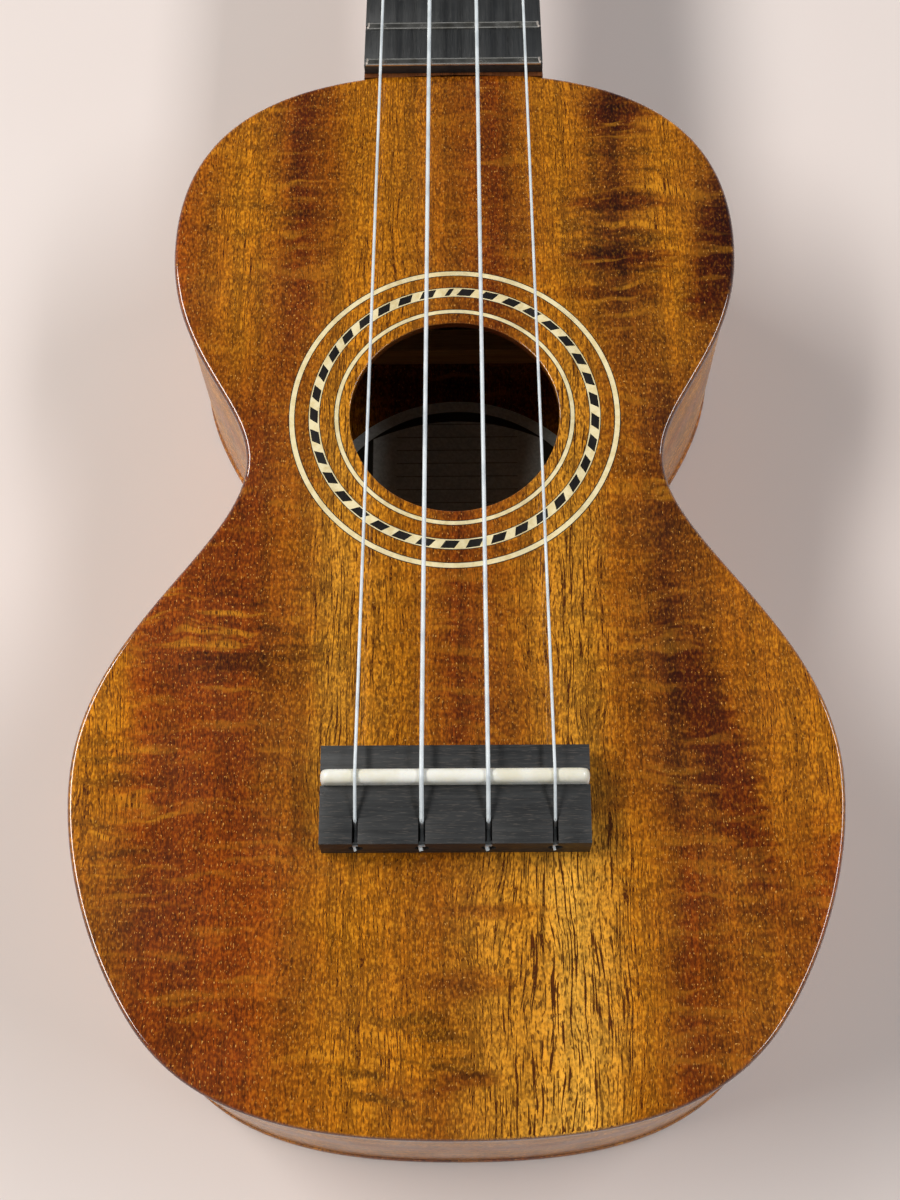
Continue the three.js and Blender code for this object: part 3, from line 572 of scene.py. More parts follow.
@dataclass(frozen=True)
class WoodFinish:
    """A plain straight-grained wood: colour, grain, open pores and its own polish."""

    name: str
    light: str
    dark: str
    pore: str
    run: Run = Run.ALONG_STRINGS
    ring: float = 2.2
    rough: Pair = (0.35, 0.5)
    coat: float = 0.0
    pore_size: Pair = (0.16, 3.0)
    pore_share: float = 0.6
    relief: float = 0.00003

    def make(self) -> bpy.types.Material:
        """Builds the material."""
        plain = {"Coat Weight": self.coat, "Coat Roughness": 0.08, "IOR": 1.5}
        material, graph, shader = surface(self.name, plain)
        place = grain_place(graph, self.run)
        marks = {"Place": place, "Width": self.ring, "Length": 70.0, "Detail": 4.0}
        ring = graph.group(PATTERNS.fibre, marks).outputs["Value"]
        marks = {"Place": place, "Width": 0.3, "Length": 9.0, "Detail": 2.0}
        thread = graph.group(PATTERNS.fibre, marks).outputs["Value"]
        share = graph.ease(
            graph.math("MULTIPLY_ADD", thread, 0.5, graph.math("MULTIPLY", ring, 0.5)), 0.34, 0.66
        )
        colour = graph.mix(share, tone(self.dark), tone(self.light))
        width, length = self.pore_size
        marks = {"Place": place, "Width": width, "Length": length, "Start": 0.58, "End": 0.68, "Detail": 1.0}
        pores = graph.group(PATTERNS.fibre, marks).outputs["Mask"]
        colour = graph.mix(graph.math("MULTIPLY", pores, self.pore_share), colour, tone(self.pore))
        graph.feed(shader.inputs["Base Color"], colour)
        low, high = self.rough
        smears = graph.group(PATTERNS.handling, {"Place": place, "Size": 9.0, "Low": low, "High": high})
        graph.feed(shader.inputs["Roughness"], smears.outputs[0])
        height = graph.math("SUBTRACT", graph.math("MULTIPLY", thread, 0.4), pores)
        graph.feed(shader.inputs["Normal"], graph.bump(height, self.relief, 0.6))
        return material


@dataclass(frozen=True)
class MetalFinish:
    """Plated or bare metal with fine rubbing marks."""

    name: str
    colour: str
    tarnish: str
    rough: Pair
    brushed: Run = Run.ALONG_STRINGS

    def make(self) -> bpy.types.Material:
        """Builds the material."""
        material, graph, shader = surface(self.name, {"Metallic": 1.0})
        place = grain_place(graph, self.brushed)
        low, high = self.rough
        smears = graph.group(
            PATTERNS.handling, {"Place": place, "Size": 4.0, "Low": low, "High": high}
        ).outputs[0]
        marks = {"Place": place, "Width": 0.08, "Length": 5.0, "Detail": 2.0}
        rubbed = graph.group(PATTERNS.fibre, marks).outputs["Value"]
        graph.feed(shader.inputs["Roughness"], graph.math("MULTIPLY_ADD", rubbed, 0.06, smears))
        dull = graph.ease(graph.noise(graph.stretch(place, (0.3, 0.3, 0.3)), 1.0, 2.0), 0.45, 0.8)
        graph.feed(shader.inputs["Base Color"], graph.mix(dull, tone(self.colour), tone(self.tarnish)))
        graph.feed(shader.inputs["Normal"], graph.bump(rubbed, 0.000004, 0.5))
        return material


@dataclass(frozen=True)
class SmoothFinish:
    """Bone, plastic, nylon or pearl: an even colour that clouds a little, with a soft surface."""

    name: str
    colour: str
    cloud: str
    size: float
    rough: Pair
    plain: tuple[tuple[str, object], ...] = ()
    relief: float = 0.000005

    def make(self) -> bpy.types.Material:
        """Builds the material."""
        material, graph, shader = surface(self.name, dict(self.plain))
        place = graph.plan_place()
        cloud = graph.noise(graph.stretch(place, (1 / self.size,) * 3), 1.0, 4.0)
        colour = graph.mix(graph.ease(cloud, 0.4, 0.7), tone(self.colour), tone(self.cloud))
        graph.feed(shader.inputs["Base Color"], colour)
        low, high = self.rough
        smears = graph.group(PATTERNS.handling, {"Place": place, "Size": 3.0, "Low": low, "High": high})
        graph.feed(shader.inputs["Roughness"], smears.outputs[0])
        fine = graph.noise(graph.stretch(place, (3.0, 3.0, 3.0)), 1.0, 3.0)
        graph.feed(shader.inputs["Normal"], graph.bump(fine, self.relief, 0.5))
        return material


@dataclass(frozen=True)
class BindingFinish:
    """A pale inlaid ring with a thin dark line along each edge."""

    name: str
    inner: float
    outer: float
    line: float
    pale: str = "F1E2B4"
    dark: str = "20140C"

    def make(self) -> bpy.types.Material:
        """Builds the material."""
        plain = {"Coat Weight": 1.0, "Coat Roughness": 0.035}
        material, graph, shader = surface(self.name, plain)
        place = graph.plan_place()
        x, y, _ = graph.split(place)
        flat = graph.combine(x, y, 0.0)
        radius = graph.node("ShaderNodeVectorMath", {0: flat}, operation="LENGTH").outputs["Value"]
        middle = (self.inner + self.outer) / 2
        from_middle = graph.math("ABSOLUTE", graph.math("SUBTRACT", radius, middle))
        edge = (self.outer - self.inner) / 2 - self.line
        rim = graph.ease(from_middle, edge - 0.04, edge + 0.04)
        cloud = graph.noise(graph.stretch(place, (0.7, 0.7, 0.7)), 1.0, 5.0)
        pale = graph.mix(graph.ease(cloud, 0.4, 0.65, 0.0, 0.5), tone(self.pale), tone("D9BE7C"))
        graph.feed(shader.inputs["Base Color"], graph.mix(rim, pale, tone(self.dark)))
        smears = graph.group(PATTERNS.handling, {"Place": place, "Size": 8.0, "Low": 0.3, "High": 0.42})
        graph.feed(shader.inputs["Roughness"], smears.outputs[0])
        return material


@dataclass(frozen=True)
class LabelFinish:
    """A round paper label: a pale rim, a dark band and a pale arched panel with faint ruled lines."""

    name: str = "label_paper"
    centre_y: float = -5.0
    rim: Pair = (34.1, 37.0)
    panel_radius: float = 31.6
    panel_half: float = 21.0
    line_gap: float = 3.6

    def make(self) -> bpy.types.Material:
        """Builds the material."""
        material, graph, shader = surface(self.name, {"Specular IOR Level": 0.2})
        place = graph.plan_place()
        x, y, _ = graph.split(place)
        down = graph.math("SUBTRACT", y, self.centre_y)
        radius = graph.node("ShaderNodeVectorMath", {0: graph.combine(x, down, 0.0)}, operation="LENGTH")
        rim = graph.ease(radius.outputs["Value"], self.rim[0] - 0.1, self.rim[0] + 0.1)
        side = graph.math("ABSOLUTE", x)
        inside = graph.ease(side, self.panel_half + 0.1, self.panel_half - 0.1)
        arch = graph.math("MULTIPLY_ADD", graph.math("MULTIPLY", x, x), 0.011, down)
        below = graph.ease(arch, self.panel_radius - 0.1, self.panel_radius - 0.3)
        panel = graph.math("MULTIPLY", inside, below)
        rows = graph.math("FRACT", graph.math("DIVIDE", down, self.line_gap))
        rule = graph.ease(graph.math("ABSOLUTE", graph.math("SUBTRACT", rows, 0.5)), 0.06, 0.02)
        rule = graph.math("MULTIPLY", rule, graph.ease(side, 15.2, 15.0))
        fibres = graph.noise(graph.stretch(place, (1.4, 1.4, 1.4)), 1.0, 6.0)
        cream = graph.mix(graph.ease(fibres, 0.35, 0.65), tone("C3C6C0"), tone("D8DAD4"))
        ruled = graph.mix(graph.math("MULTIPLY", rule, 0.55), cream, tone("5E5748"))
        colour = graph.mix(panel, tone("39342C"), ruled)
        graph.feed(shader.inputs["Base Color"], graph.mix(rim, colour, cream))
        graph.feed(shader.inputs["Roughness"], graph.ease(fibres, 0.3, 0.7, 0.7, 0.9))
        graph.feed(shader.inputs["Normal"], graph.bump(fibres, 0.00004, 0.4))
        return material


@dataclass(frozen=True)
class FloorFinish:
    """The plain pale table top under the instrument."""

    name: str = "floor"

    def make(self) -> bpy.types.Material:
        """Builds the material."""
        material, graph, shader = surface(self.name, {"Specular IOR Level": 0.25})
        place = graph.plan_place()
        cloud = graph.noise(graph.stretch(place, (0.004, 0.004, 0.004)), 1.0, 3.0)
        colour = graph.mix(graph.ease(cloud, 0.3, 0.7), tone("E4D8D2"), tone("E8DED9"))
        graph.feed(shader.inputs["Base Color"], colour)
        graph.feed(shader.inputs["Roughness"], graph.ease(cloud, 0.3, 0.7, 0.6, 0.68))
        return material


class Finishes:
    """Every finish of the instrument, each made once."""

    def __init__(self) -> None:
        """Makes the materials."""
        gold, honey, amber, tawny, russet, chestnut, umber = KoaTone
        self.top = KoaFinish(
            "koa_top",
            shoulders=(
                (-64, russet), (-48, amber), (-36, chestnut), (-24, amber), (-12, amber), (-4, tawny),
                (8, chestnut), (24, amber), (36, umber), (48, amber), (60, umber),
            ),
            waist=(
                (-76, amber), (-64, russet), (-44, chestnut), (-32, tawny), (-24, honey), (-12, amber),
                (0, chestnut), (12, tawny), (24, honey), (32, tawny), (44, umber), (60, tawny), (76, amber),
            ),
            tail=(
                (-74, tawny), (-62, chestnut), (-40, russet), (-20, amber), (-2, tawny), (12, honey),
                (22, gold), (34, amber), (46, chestnut), (62, tawny), (74, russet),
            ),
            patches=(
                Patch(Figure.FLAME, -49, -50, 26, 15), Patch(Figure.FLAME, -68, -86, 12, 22, 0.8),
                Patch(Figure.FLAME, -10, -138, 18, 12), Patch(Figure.FLAME, -44, 58, 18, 26, 0.7),
                Patch(Figure.FLAME, 38, 56, 18, 34, 0.9), Patch(Figure.FLAME, 42, -20, 14, 20, 0.5),
                Patch(Figure.FLAME, 30, -52, 14, 18, 0.5), Patch(Figure.SHADE, 38, 78, 9, 7, 0.9),
                Patch(Figure.SHADE, 37, 54, 13, 2.6, 0.8), Patch(Figure.SHADE, 37, 39, 14, 3.2, 0.9),
                Patch(Figure.SHADE, 36, 30, 13, 2.4, 0.6), Patch(Figure.SHADE, 60, 42, 7, 22, 1.0, -12),
                Patch(
                    Figure.SHADE, 54, -78, 6.5, 38, 0.9, 15
                ), Patch(Figure.SHADE, -4, -142, 13, 2.4, 0.7, 6),
                Patch(Figure.SHADE, 3, -123, 10, 3, 0.6), Patch(Figure.SHADE, 8, -109, 12, 1.8, 0.6),
                Patch(Figure.SHADE, -30, 66, 10, 34, 0.5), Patch(Figure.GLOW, -72, -66, 5, 16, 0.5),
                Patch(Figure.GLOW, -46, 52, 9, 9, 0.35), Patch(Figure.GLOW, -20, 62, 6, 34, 0.4, 4),
                Patch(Figure.GLOW, -14, -136, 14, 9, 0.5), Patch(Figure.GLOW, -22, -108, 11, 8, 0.3),
                Patch(Figure.GLOW, 14, -124, 6, 28, 0.4),
            ),
            rim=TOP,
        ).make()
        matched = (
            (-80, russet), (-40, amber), (
                -10, chestnut
            ), (0, umber), (10, chestnut), (40, amber), (80, russet)
        )
        self.back = KoaFinish("koa_back", matched, matched, matched, flame=0.5).make()
        bent = ((-10, tawny), (8, amber), (20, honey), (32, tawny), (44, honey), (58, tawny))
        self.rib = KoaFinish(
            "koa_rib", bent, bent, bent, run=Run.BENT, half_width=60.0, flame=0.5, coat=0.3
        ).make()
        plate = ((-30, russet), (-12, amber), (4, chestnut), (16, amber), (30, chestnut))
        self.headplate = KoaFinish(
            "koa_headplate", plate, plate, plate, half_width=32.0, coat=0.4, coat_rough=0.12
        ).make()
        self.neck = WoodFinish(
            "neck_wood", "7E4A26", "5C3016", "2E160A", rough=(0.25, 0.36), coat=0.6, pore_size=(0.15, 4.0)
        ).make()
        self.bridge = WoodFinish(
            "bridge_ebony", "2A2B2B", "141516", "47413C", run=Run.ACROSS, ring=0.9, rough=(0.45, 0.6),
            pore_size=(0.16, 2.2), pore_share=0.7,
        ).make()
        self.board = WoodFinish(
            "board_ebony", "343535", "202224", "111213", ring=1.4, rough=(0.38, 0.52), pore_size=(0.12, 3.4)
        ).make()
        self.spruce = WoodFinish(
            "bracing_spruce", "CDA971", "B08850", "8A6234", ring=1.6, rough=(0.6, 0.75), pore_share=0.2
        ).make()
        self.cross_spruce = WoodFinish(
            "cross_spruce", "CDA971", "B08850", "8A6234",
            run=Run.ACROSS, ring=1.6, rough=(0.6, 0.75), pore_share=0.2
        ).make()
        self.block = WoodFinish(
            "block_spruce", "C39A62", "A47A45", "7E5A30",
            run=Run.UP, ring=2.6, rough=(0.6, 0.75), pore_share=0.2
        ).make()
        self.inner_ring = BindingFinish("inner_ring", 25.2, 26.35, 0.16).make()
        self.rope_ring = BindingFinish("rope_ring", 29.45, 31.95, 0.14).make()
        self.outer_ring = BindingFinish("outer_ring", 34.85, 36.25, 0.17).make()
        self.tile = WoodFinish(
            "rope_black", "1C1815", "0E0C0B", "060505", ring=0.7, rough=(0.3, 0.4), coat=1.0, relief=0.000001
        ).make()
        self.label = LabelFinish().make()
        glow = (
            ("Subsurface Weight", 0.12), ("Subsurface Radius", (0.6, 0.5, 0.35)), ("Subsurface Scale", 0.001)
        )
        self.bone = SmoothFinish("bone", "F2F1E8", "E6E1CC", 6.0, (0.22, 0.36), glow, 0.000012).make()
        self.string = SmoothFinish("nylon", "DEE5E8", "C6CED2", 5.0, (0.18, 0.28), (("IOR", 1.53),)).make()
        self.button = SmoothFinish(
            "button_black", "121213", "1B1B1D", 7.0, (0.12, 0.24), (
                ("Coat Weight", 0.5), ("Coat Roughness", 0.08)
            )
        ).make()
        self.pearl = SmoothFinish(
            "pearl", "E9E6DF", "BFC9C4", 1.4, (0.12, 0.2), (("Coat Weight", 1.0), ("Coat Roughness", 0.05))
        ).make()
        self.fret = MetalFinish("fret_wire", "D9D8D2", "B4B0A4", (0.14, 0.26), Run.ACROSS).make()
        self.chrome = MetalFinish("tuner_chrome", "DADCDD", "CDCECF", (0.06, 0.13)).make()
        self.brass = MetalFinish("worm_brass", "D8AE5E", "9A7434", (0.2, 0.34)).make()
        self.floor = FloorFinish().make()


FINISH = Finishes()


# ---------------------------------------------------------------- meshes


def link(name: str, mesh: bpy.types.Mesh) -> bpy.types.Object:
    """Puts a mesh in the scene as an object at the origin."""
    made = bpy.data.objects.new(name, mesh)
    bpy.context.scene.collection.objects.link(made)
    return made


def mesh_from(
    name: str, points: Iterable[Sequence[float]], faces: Iterable[Sequence[int]]
) -> bpy.types.Object:
    """Makes an object from points in metres and faces.

    Args:
        name: The object's name.
        points: The points.
        faces: Rows of point numbers, seen counter-clockwise from outside.

    Returns:
        The object.
    """
    mesh = bpy.data.meshes.new(name)
    mesh.from_pydata([tuple(p) for p in points], [], [tuple(f) for f in faces])
    mesh.validate()
    return link(name, mesh)


def edit(piece: bpy.types.Object, change: Callable[[bmesh.types.BMesh], None]) -> bpy.types.Object:
    """Runs a change on a piece's mesh."""
    work = bmesh.new()
    work.from_mesh(piece.data)
    change(work)
    work.to_mesh(piece.data)
    work.free()
    return piece


def settle(work: bmesh.types.BMesh) -> None:
    """Merges doubles, drops slivers and turns every face outwards."""
    bmesh.ops.remove_doubles(work, verts=work.verts, dist=1e-6)
    bmesh.ops.dissolve_degenerate(work, edges=work.edges, dist=1e-7)
    bmesh.ops.recalc_face_normals(work, faces=work.faces)


def bake(piece: bpy.types.Object) -> bpy.types.Object:
    """Replaces a piece's mesh with what its modifiers make, and drops them."""
    shape = piece.evaluated_get(bpy.context.evaluated_depsgraph_get())
    mesh = bpy.data.meshes.new_from_object(shape)
    piece.modifiers.clear()
    piece.data = mesh
    return piece


def smooth(piece: bpy.types.Object, degrees: float = 32.0) -> bpy.types.Object:
    """Shades a piece smoothly, with edges sharper than an angle left crisp."""
    piece.data.shade_smooth()
    piece.data.set_sharp_from_angle(angle=math.radians(degrees))
    return piece


def soften(
    piece: bpy.types.Object, width: float, segments: int = 3, degrees: float = 30.0
) -> bpy.types.Object:
    """Rounds a piece's sharp edges.

    Args:
        piece: The piece.
        width: Millimetres from the edge at which the rounding starts.
        segments: Steps in the rounding.
        degrees: Edges sharper than this are rounded.

    Returns:
        The piece.
    """
    bevel = piece.modifiers.new("soften", "BEVEL")
    bevel.width = width * MM
    bevel.segments = segments
    bevel.limit_method = "ANGLE"
    bevel.angle_limit = math.radians(degrees)
    bevel.use_clamp_overlap = True
    bevel.harden_normals = False
    bake(piece)
    return smooth(piece, 40.0)


def cut(piece: bpy.types.Object, tools: Sequence[bpy.types.Object]) -> bpy.types.Object:
    """Takes solids away from a piece and removes them from the scene."""
    for tool in tools:
        take = piece.modifiers.new("cut", "BOOLEAN")
        take.operation = "DIFFERENCE"
        take.solver = "EXACT"
        take.object = tool
    bake(piece)
    for tool in tools:
        bpy.data.objects.remove(tool)
    return edit(piece, settle)


def copy_of(node: str, name: str) -> bpy.types.Object:
    """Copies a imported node's solid, with its flat faces made whole."""
    piece = link(name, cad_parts[node].data.copy())
    piece.data.materials.clear()

    def merge(work: bmesh.types.BMesh) -> None:
        bmesh.ops.remove_doubles(work, verts=work.verts, dist=1e-6)
        bmesh.ops.dissolve_limit(work, angle_limit=math.radians(1.0), verts=work.verts, edges=work.edges)

    return edit(piece, merge)


def block(name: str, low: Triple, high: Triple) -> bpy.types.Object:
    """A rectangular solid between two corners of the maker's plan."""
    corners = [spot(x, y, z) for z in (low[2], high[2]) for y in (low[1], high[1]) for x in (low[0], high[0])]
    faces = [(0, 2, 3, 1), (4, 5, 7, 6), (0, 1, 5, 4), (2, 6, 7, 3), (0, 4, 6, 2), (1, 3, 7, 5)]
    return mesh_from(name, corners, faces)


def skin(
    name: str, rings: Sequence[Sequence[Vector]], ends: bool = True, loop: bool = False
) -> bpy.types.Object:
    """A skin over a row of closed rings with the same number of points.

    Args:
        name: The object's name.
        rings: The rings, in metres.
        ends: Whether the first and last ring are closed with a face.
        loop: Whether the last ring joins the first.

    Returns:
        The object.
    """
    count = len(rings[0])
    points = [p for ring in rings for p in ring]
    faces: list[Sequence[int]] = []
    spans = len(rings) if loop else len(rings) - 1
    for i in range(spans):
        here, there = i * count, ((i + 1) % len(rings)) * count
        for j in range(count):
            k = (j + 1) % count
            faces.append((here + j, here + k, there + k, there + j))
    if ends and not loop:
        faces.append(tuple(reversed(range(count))))
        faces.append(tuple(range((len(rings) - 1) * count, len(rings) * count)))
    return edit(mesh_from(name, points, faces), settle)


def lathe(name: str, profile: Sequence[Pair], place: Matrix, sides: int = 48) -> bpy.types.Object:
    """Turns a closed profile about the local Z axis.

    Args:
        name: The object's name.
        profile: Corners as (radius, height) in millimetres; a radius of 0 closes the shape.
        place: Where the local frame, in millimetres, stands in the model's frame, in metres.
        sides: Steps round the axis.

    Returns:
        The object.
    """
    points = []
    for radius, height in profile:
        for i in range(sides):
            angle = math.tau * i / sides
            points.append(place @ Vector((radius * math.cos(angle), radius * math.sin(angle), height)))
    rings = [points[i * sides : (i + 1) * sides] for i in range(len(profile))]
    closed = profile[0][0] > 0
    return skin(name, rings, ends=False, loop=closed)


def rounded(corners: Sequence[tuple[float, float, float]], steps: int = 4) -> list[Pair]:
    """Rounds the corners of a flat path.

    Args:
        corners: Each corner and the distance from it at which its rounding starts.
        steps: Steps in each rounding.

    Returns:
        The rounded path, closed.
    """
    path: list[Pair] = []
    for i, (x, y, size) in enumerate(corners):
        here = Vector((x, y))
        if size <= 0:
            path.append((x, y))
            continue
        before = Vector(corners[i - 1][:2])
        after = Vector(corners[(i + 1) % len(corners)][:2])
        start = here + (before - here).normalized() * size
        end = here + (after - here).normalized() * size
        for step in range(steps + 1):
            t = step / steps
            at = (1 - t) ** 2 * start + 2 * t * (1 - t) * here + t**2 * end
            path.append((at.x, at.y))
    return path


def tube(name: str, path: Sequence[Vector], radius: float, sides: int = 12) -> bpy.types.Object:
    """A round cord along a path, closed at both ends.

    Args:
        name: The object's name.
        path: The points of its middle line, in metres.
        radius: Its radius, in metres.
        sides: Sides of the cord.

    Returns:
        The object.
    """
    tangents = [
        (path[min(i + 1, len(path) - 1)] - path[max(i - 1, 0)]).normalized() for i in range(len(path))
    ]
    side = tangents[0].cross(Vector((0.3, 0.2, 1.0))).normalized()
    rings = []
    for at, along in zip(path, tangents):
        side = (side - along * side.dot(along)).normalized()
        up = along.cross(side)
        angles = [math.tau * k / sides for k in range(sides)]
        rings.append([at + radius * (math.cos(a) * side + math.sin(a) * up) for a in angles])
    return smooth(skin(name, rings), 50.0)


def grow(
    name: str, tree: bpy.types.NodeTree, values: dict[str, object], start: bpy.types.Mesh | None = None
) -> bpy.types.Object:
    """Runs a Geometry Nodes tree and keeps what it makes as a plain mesh.

    Args:
        name: The new object's name.
        tree: The tree.
        values: Values for the tree's inputs, by name.
        start: The mesh that the tree is given.

    Returns:
        The object.
    """
    carrier = link(name + "_carrier", start or bpy.data.meshes.new(name + "_start"))
    modifier = carrier.modifiers.new("grow", "NODES")
    modifier.node_group = tree
    for item in tree.interface.items_tree:
        if item.item_type == "SOCKET" and item.in_out == "INPUT" and item.name in values:
            modifier[item.identifier] = values[item.name]
    shape = carrier.evaluated_get(bpy.context.evaluated_depsgraph_get())
    mesh = bpy.data.meshes.new_from_object(shape)
    carrier.modifiers.remove(modifier)
    bpy.data.objects.remove(carrier)
    mesh.name = name
    mesh.materials.clear()
    mesh.materials.append(values["Finish"])
    return link(name, mesh)


def new_shape_tree(name: str, inputs: dict[str, tuple[str, object]]) -> tuple[Graph, dict, dict]:
    """Starts a Geometry Nodes tree with a Geometry input and output.

    Args:
        name: The tree's name.
        inputs: Socket type and default of each further input, by name.

    Returns:
        The tree's graph, its input sockets by name, and its output sockets by name.
    """
    tree = bpy.data.node_groups.new(name, "GeometryNodeTree")
    tree.interface.new_socket(name="Geometry", in_out="INPUT", socket_type="NodeSocketGeometry")
    for key, (kind, value) in inputs.items():
        item = tree.interface.new_socket(name=key, in_out="INPUT", socket_type=kind)
        if value is not None:
            item.default_value = value
    tree.interface.new_socket(name="Geometry", in_out="OUTPUT", socket_type="NodeSocketGeometry")
    entry = tree.nodes.new("NodeGroupInput")
    leave = tree.nodes.new("NodeGroupOutput")
    return Graph(tree), {
        s.name: s for s in entry.outputs if s.name
    }, {s.name: s for s in leave.inputs if s.name}


def paint(piece: bpy.types.Object, material: bpy.types.Material) -> None:
    """Gives a piece one material."""
    piece.data.materials.clear()
    piece.data.materials.append(material)


def fit(
    piece: bpy.types.Object, body: str, slot: str, material: bpy.types.Material | None, *nodes: str
) -> None:
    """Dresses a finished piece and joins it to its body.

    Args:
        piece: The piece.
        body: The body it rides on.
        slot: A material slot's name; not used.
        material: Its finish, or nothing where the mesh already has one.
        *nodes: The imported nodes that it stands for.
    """
    if material is not None:
        paint(piece, material)
    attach(piece, body)
    if nodes:
        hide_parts(*nodes)
    LOG.info("%s: %d faces on %s, for %s", piece.name, len(piece.data.polygons), body, nodes or "no node")


BODY = "instrument"


# ---------------------------------------------------------------- body outline


class Outline:
    """The body's plan, a row of Bezier curves mirrored about the middle line."""

    curves: tuple[tuple[Pair, Pair, Pair, Pair], ...] = (
        ((0, 90.6), (48.3, 90.6), (63.6, 70.8), (63.6, 42.9)),
        ((63.6, 42.9), (63.6, 15.5), (45.1, 4.1), (45.1, -11)),
        ((45.1, -11), (45.1, -30.8), (78.5, -49.4), (78.5, -82.3)),
        ((78.5, -82.3), (78.5, -100.1), (71.9, -117.7), (63.4, -130.1)),
        ((63.4, -130.1), (51.2, -148), (29.2, -152.4), (0, -152.4)),
    )
    steps: int = 44

    def __init__(self) -> None:
        """Samples the curves."""
        self.points: list[Vector] = []
        self.outward: list[Vector] = []
        for curve in self.curves:
            a, b, c, d = (Vector(p) for p in curve)
            for step in range(0 if not self.points else 1, self.steps + 1):
                t = step / self.steps
                at = (1 - t) ** 3 * a + 3 * t * (1 - t) ** 2 * b + 3 * t**2 * (1 - t) * c + t**3 * d
                along = (1 - t) ** 2 * (b - a) + 2 * t * (1 - t) * (c - b) + t**2 * (d - c)
                along.normalize()
                self.points.append(at)
                self.outward.append(Vector((-along.y, along.x)))

    def half(self, inset: float) -> list[Vector]:
        """The right half, moved inwards, from the neck to the tail."""
        return [Vector(
            (max(0.0, p.x - n.x * inset), p.y - n.y * inset)
        ) for p, n in zip(self.points, self.outward)]

    def whole(self, inset: float) -> list[Vector]:
        """The closed outline, counter-clockwise seen from above."""
        right = self.half(inset)
        left = [Vector((-p.x, p.y)) for p in right[1:-1]]
        return [*reversed(right), *left]

    def y_at(self, x: float) -> float:
        """The plan's y of the neck end's edge, at a distance from the middle line."""
        for before, after in zip(self.points, self.points[1:]):
            if before.x <= abs(x) <= after.x:
                share = (abs(x) - before.x) / (after.x - before.x)
                return before.y + share * (after.y - before.y)
        return self.points[0].y


OUTLINE = Outline()


@dataclass(frozen=True)
class PlateSection:
    """A step on a plate's cross-section: a circle about the sound hole, or the outline moved inwards."""

    circle: float | None
    inset: float
    z: float

    def ring(self, middle: Vector) -> list[Vector]:
        """The closed ring of points, in metres."""
        outline = OUTLINE.whole(self.inset if self.circle is None else 0.0)
        if self.circle is None:
            return [spot(p.x, p.y, self.z) for p in outline]
        ring = []
        for p in outline:
            away = (p - middle).normalized() * self.circle + middle
            ring.append(spot(away.x, away.y, self.z))
        return ring


def quarter(steps: int) -> list[Pair]:
    """Sine and 1 - cosine of a quarter turn, in equal steps."""
    angles = [math.pi / 2 * i / steps for i in range(steps + 1)]
    return [(math.sin(a), 1 - math.cos(a)) for a in angles]


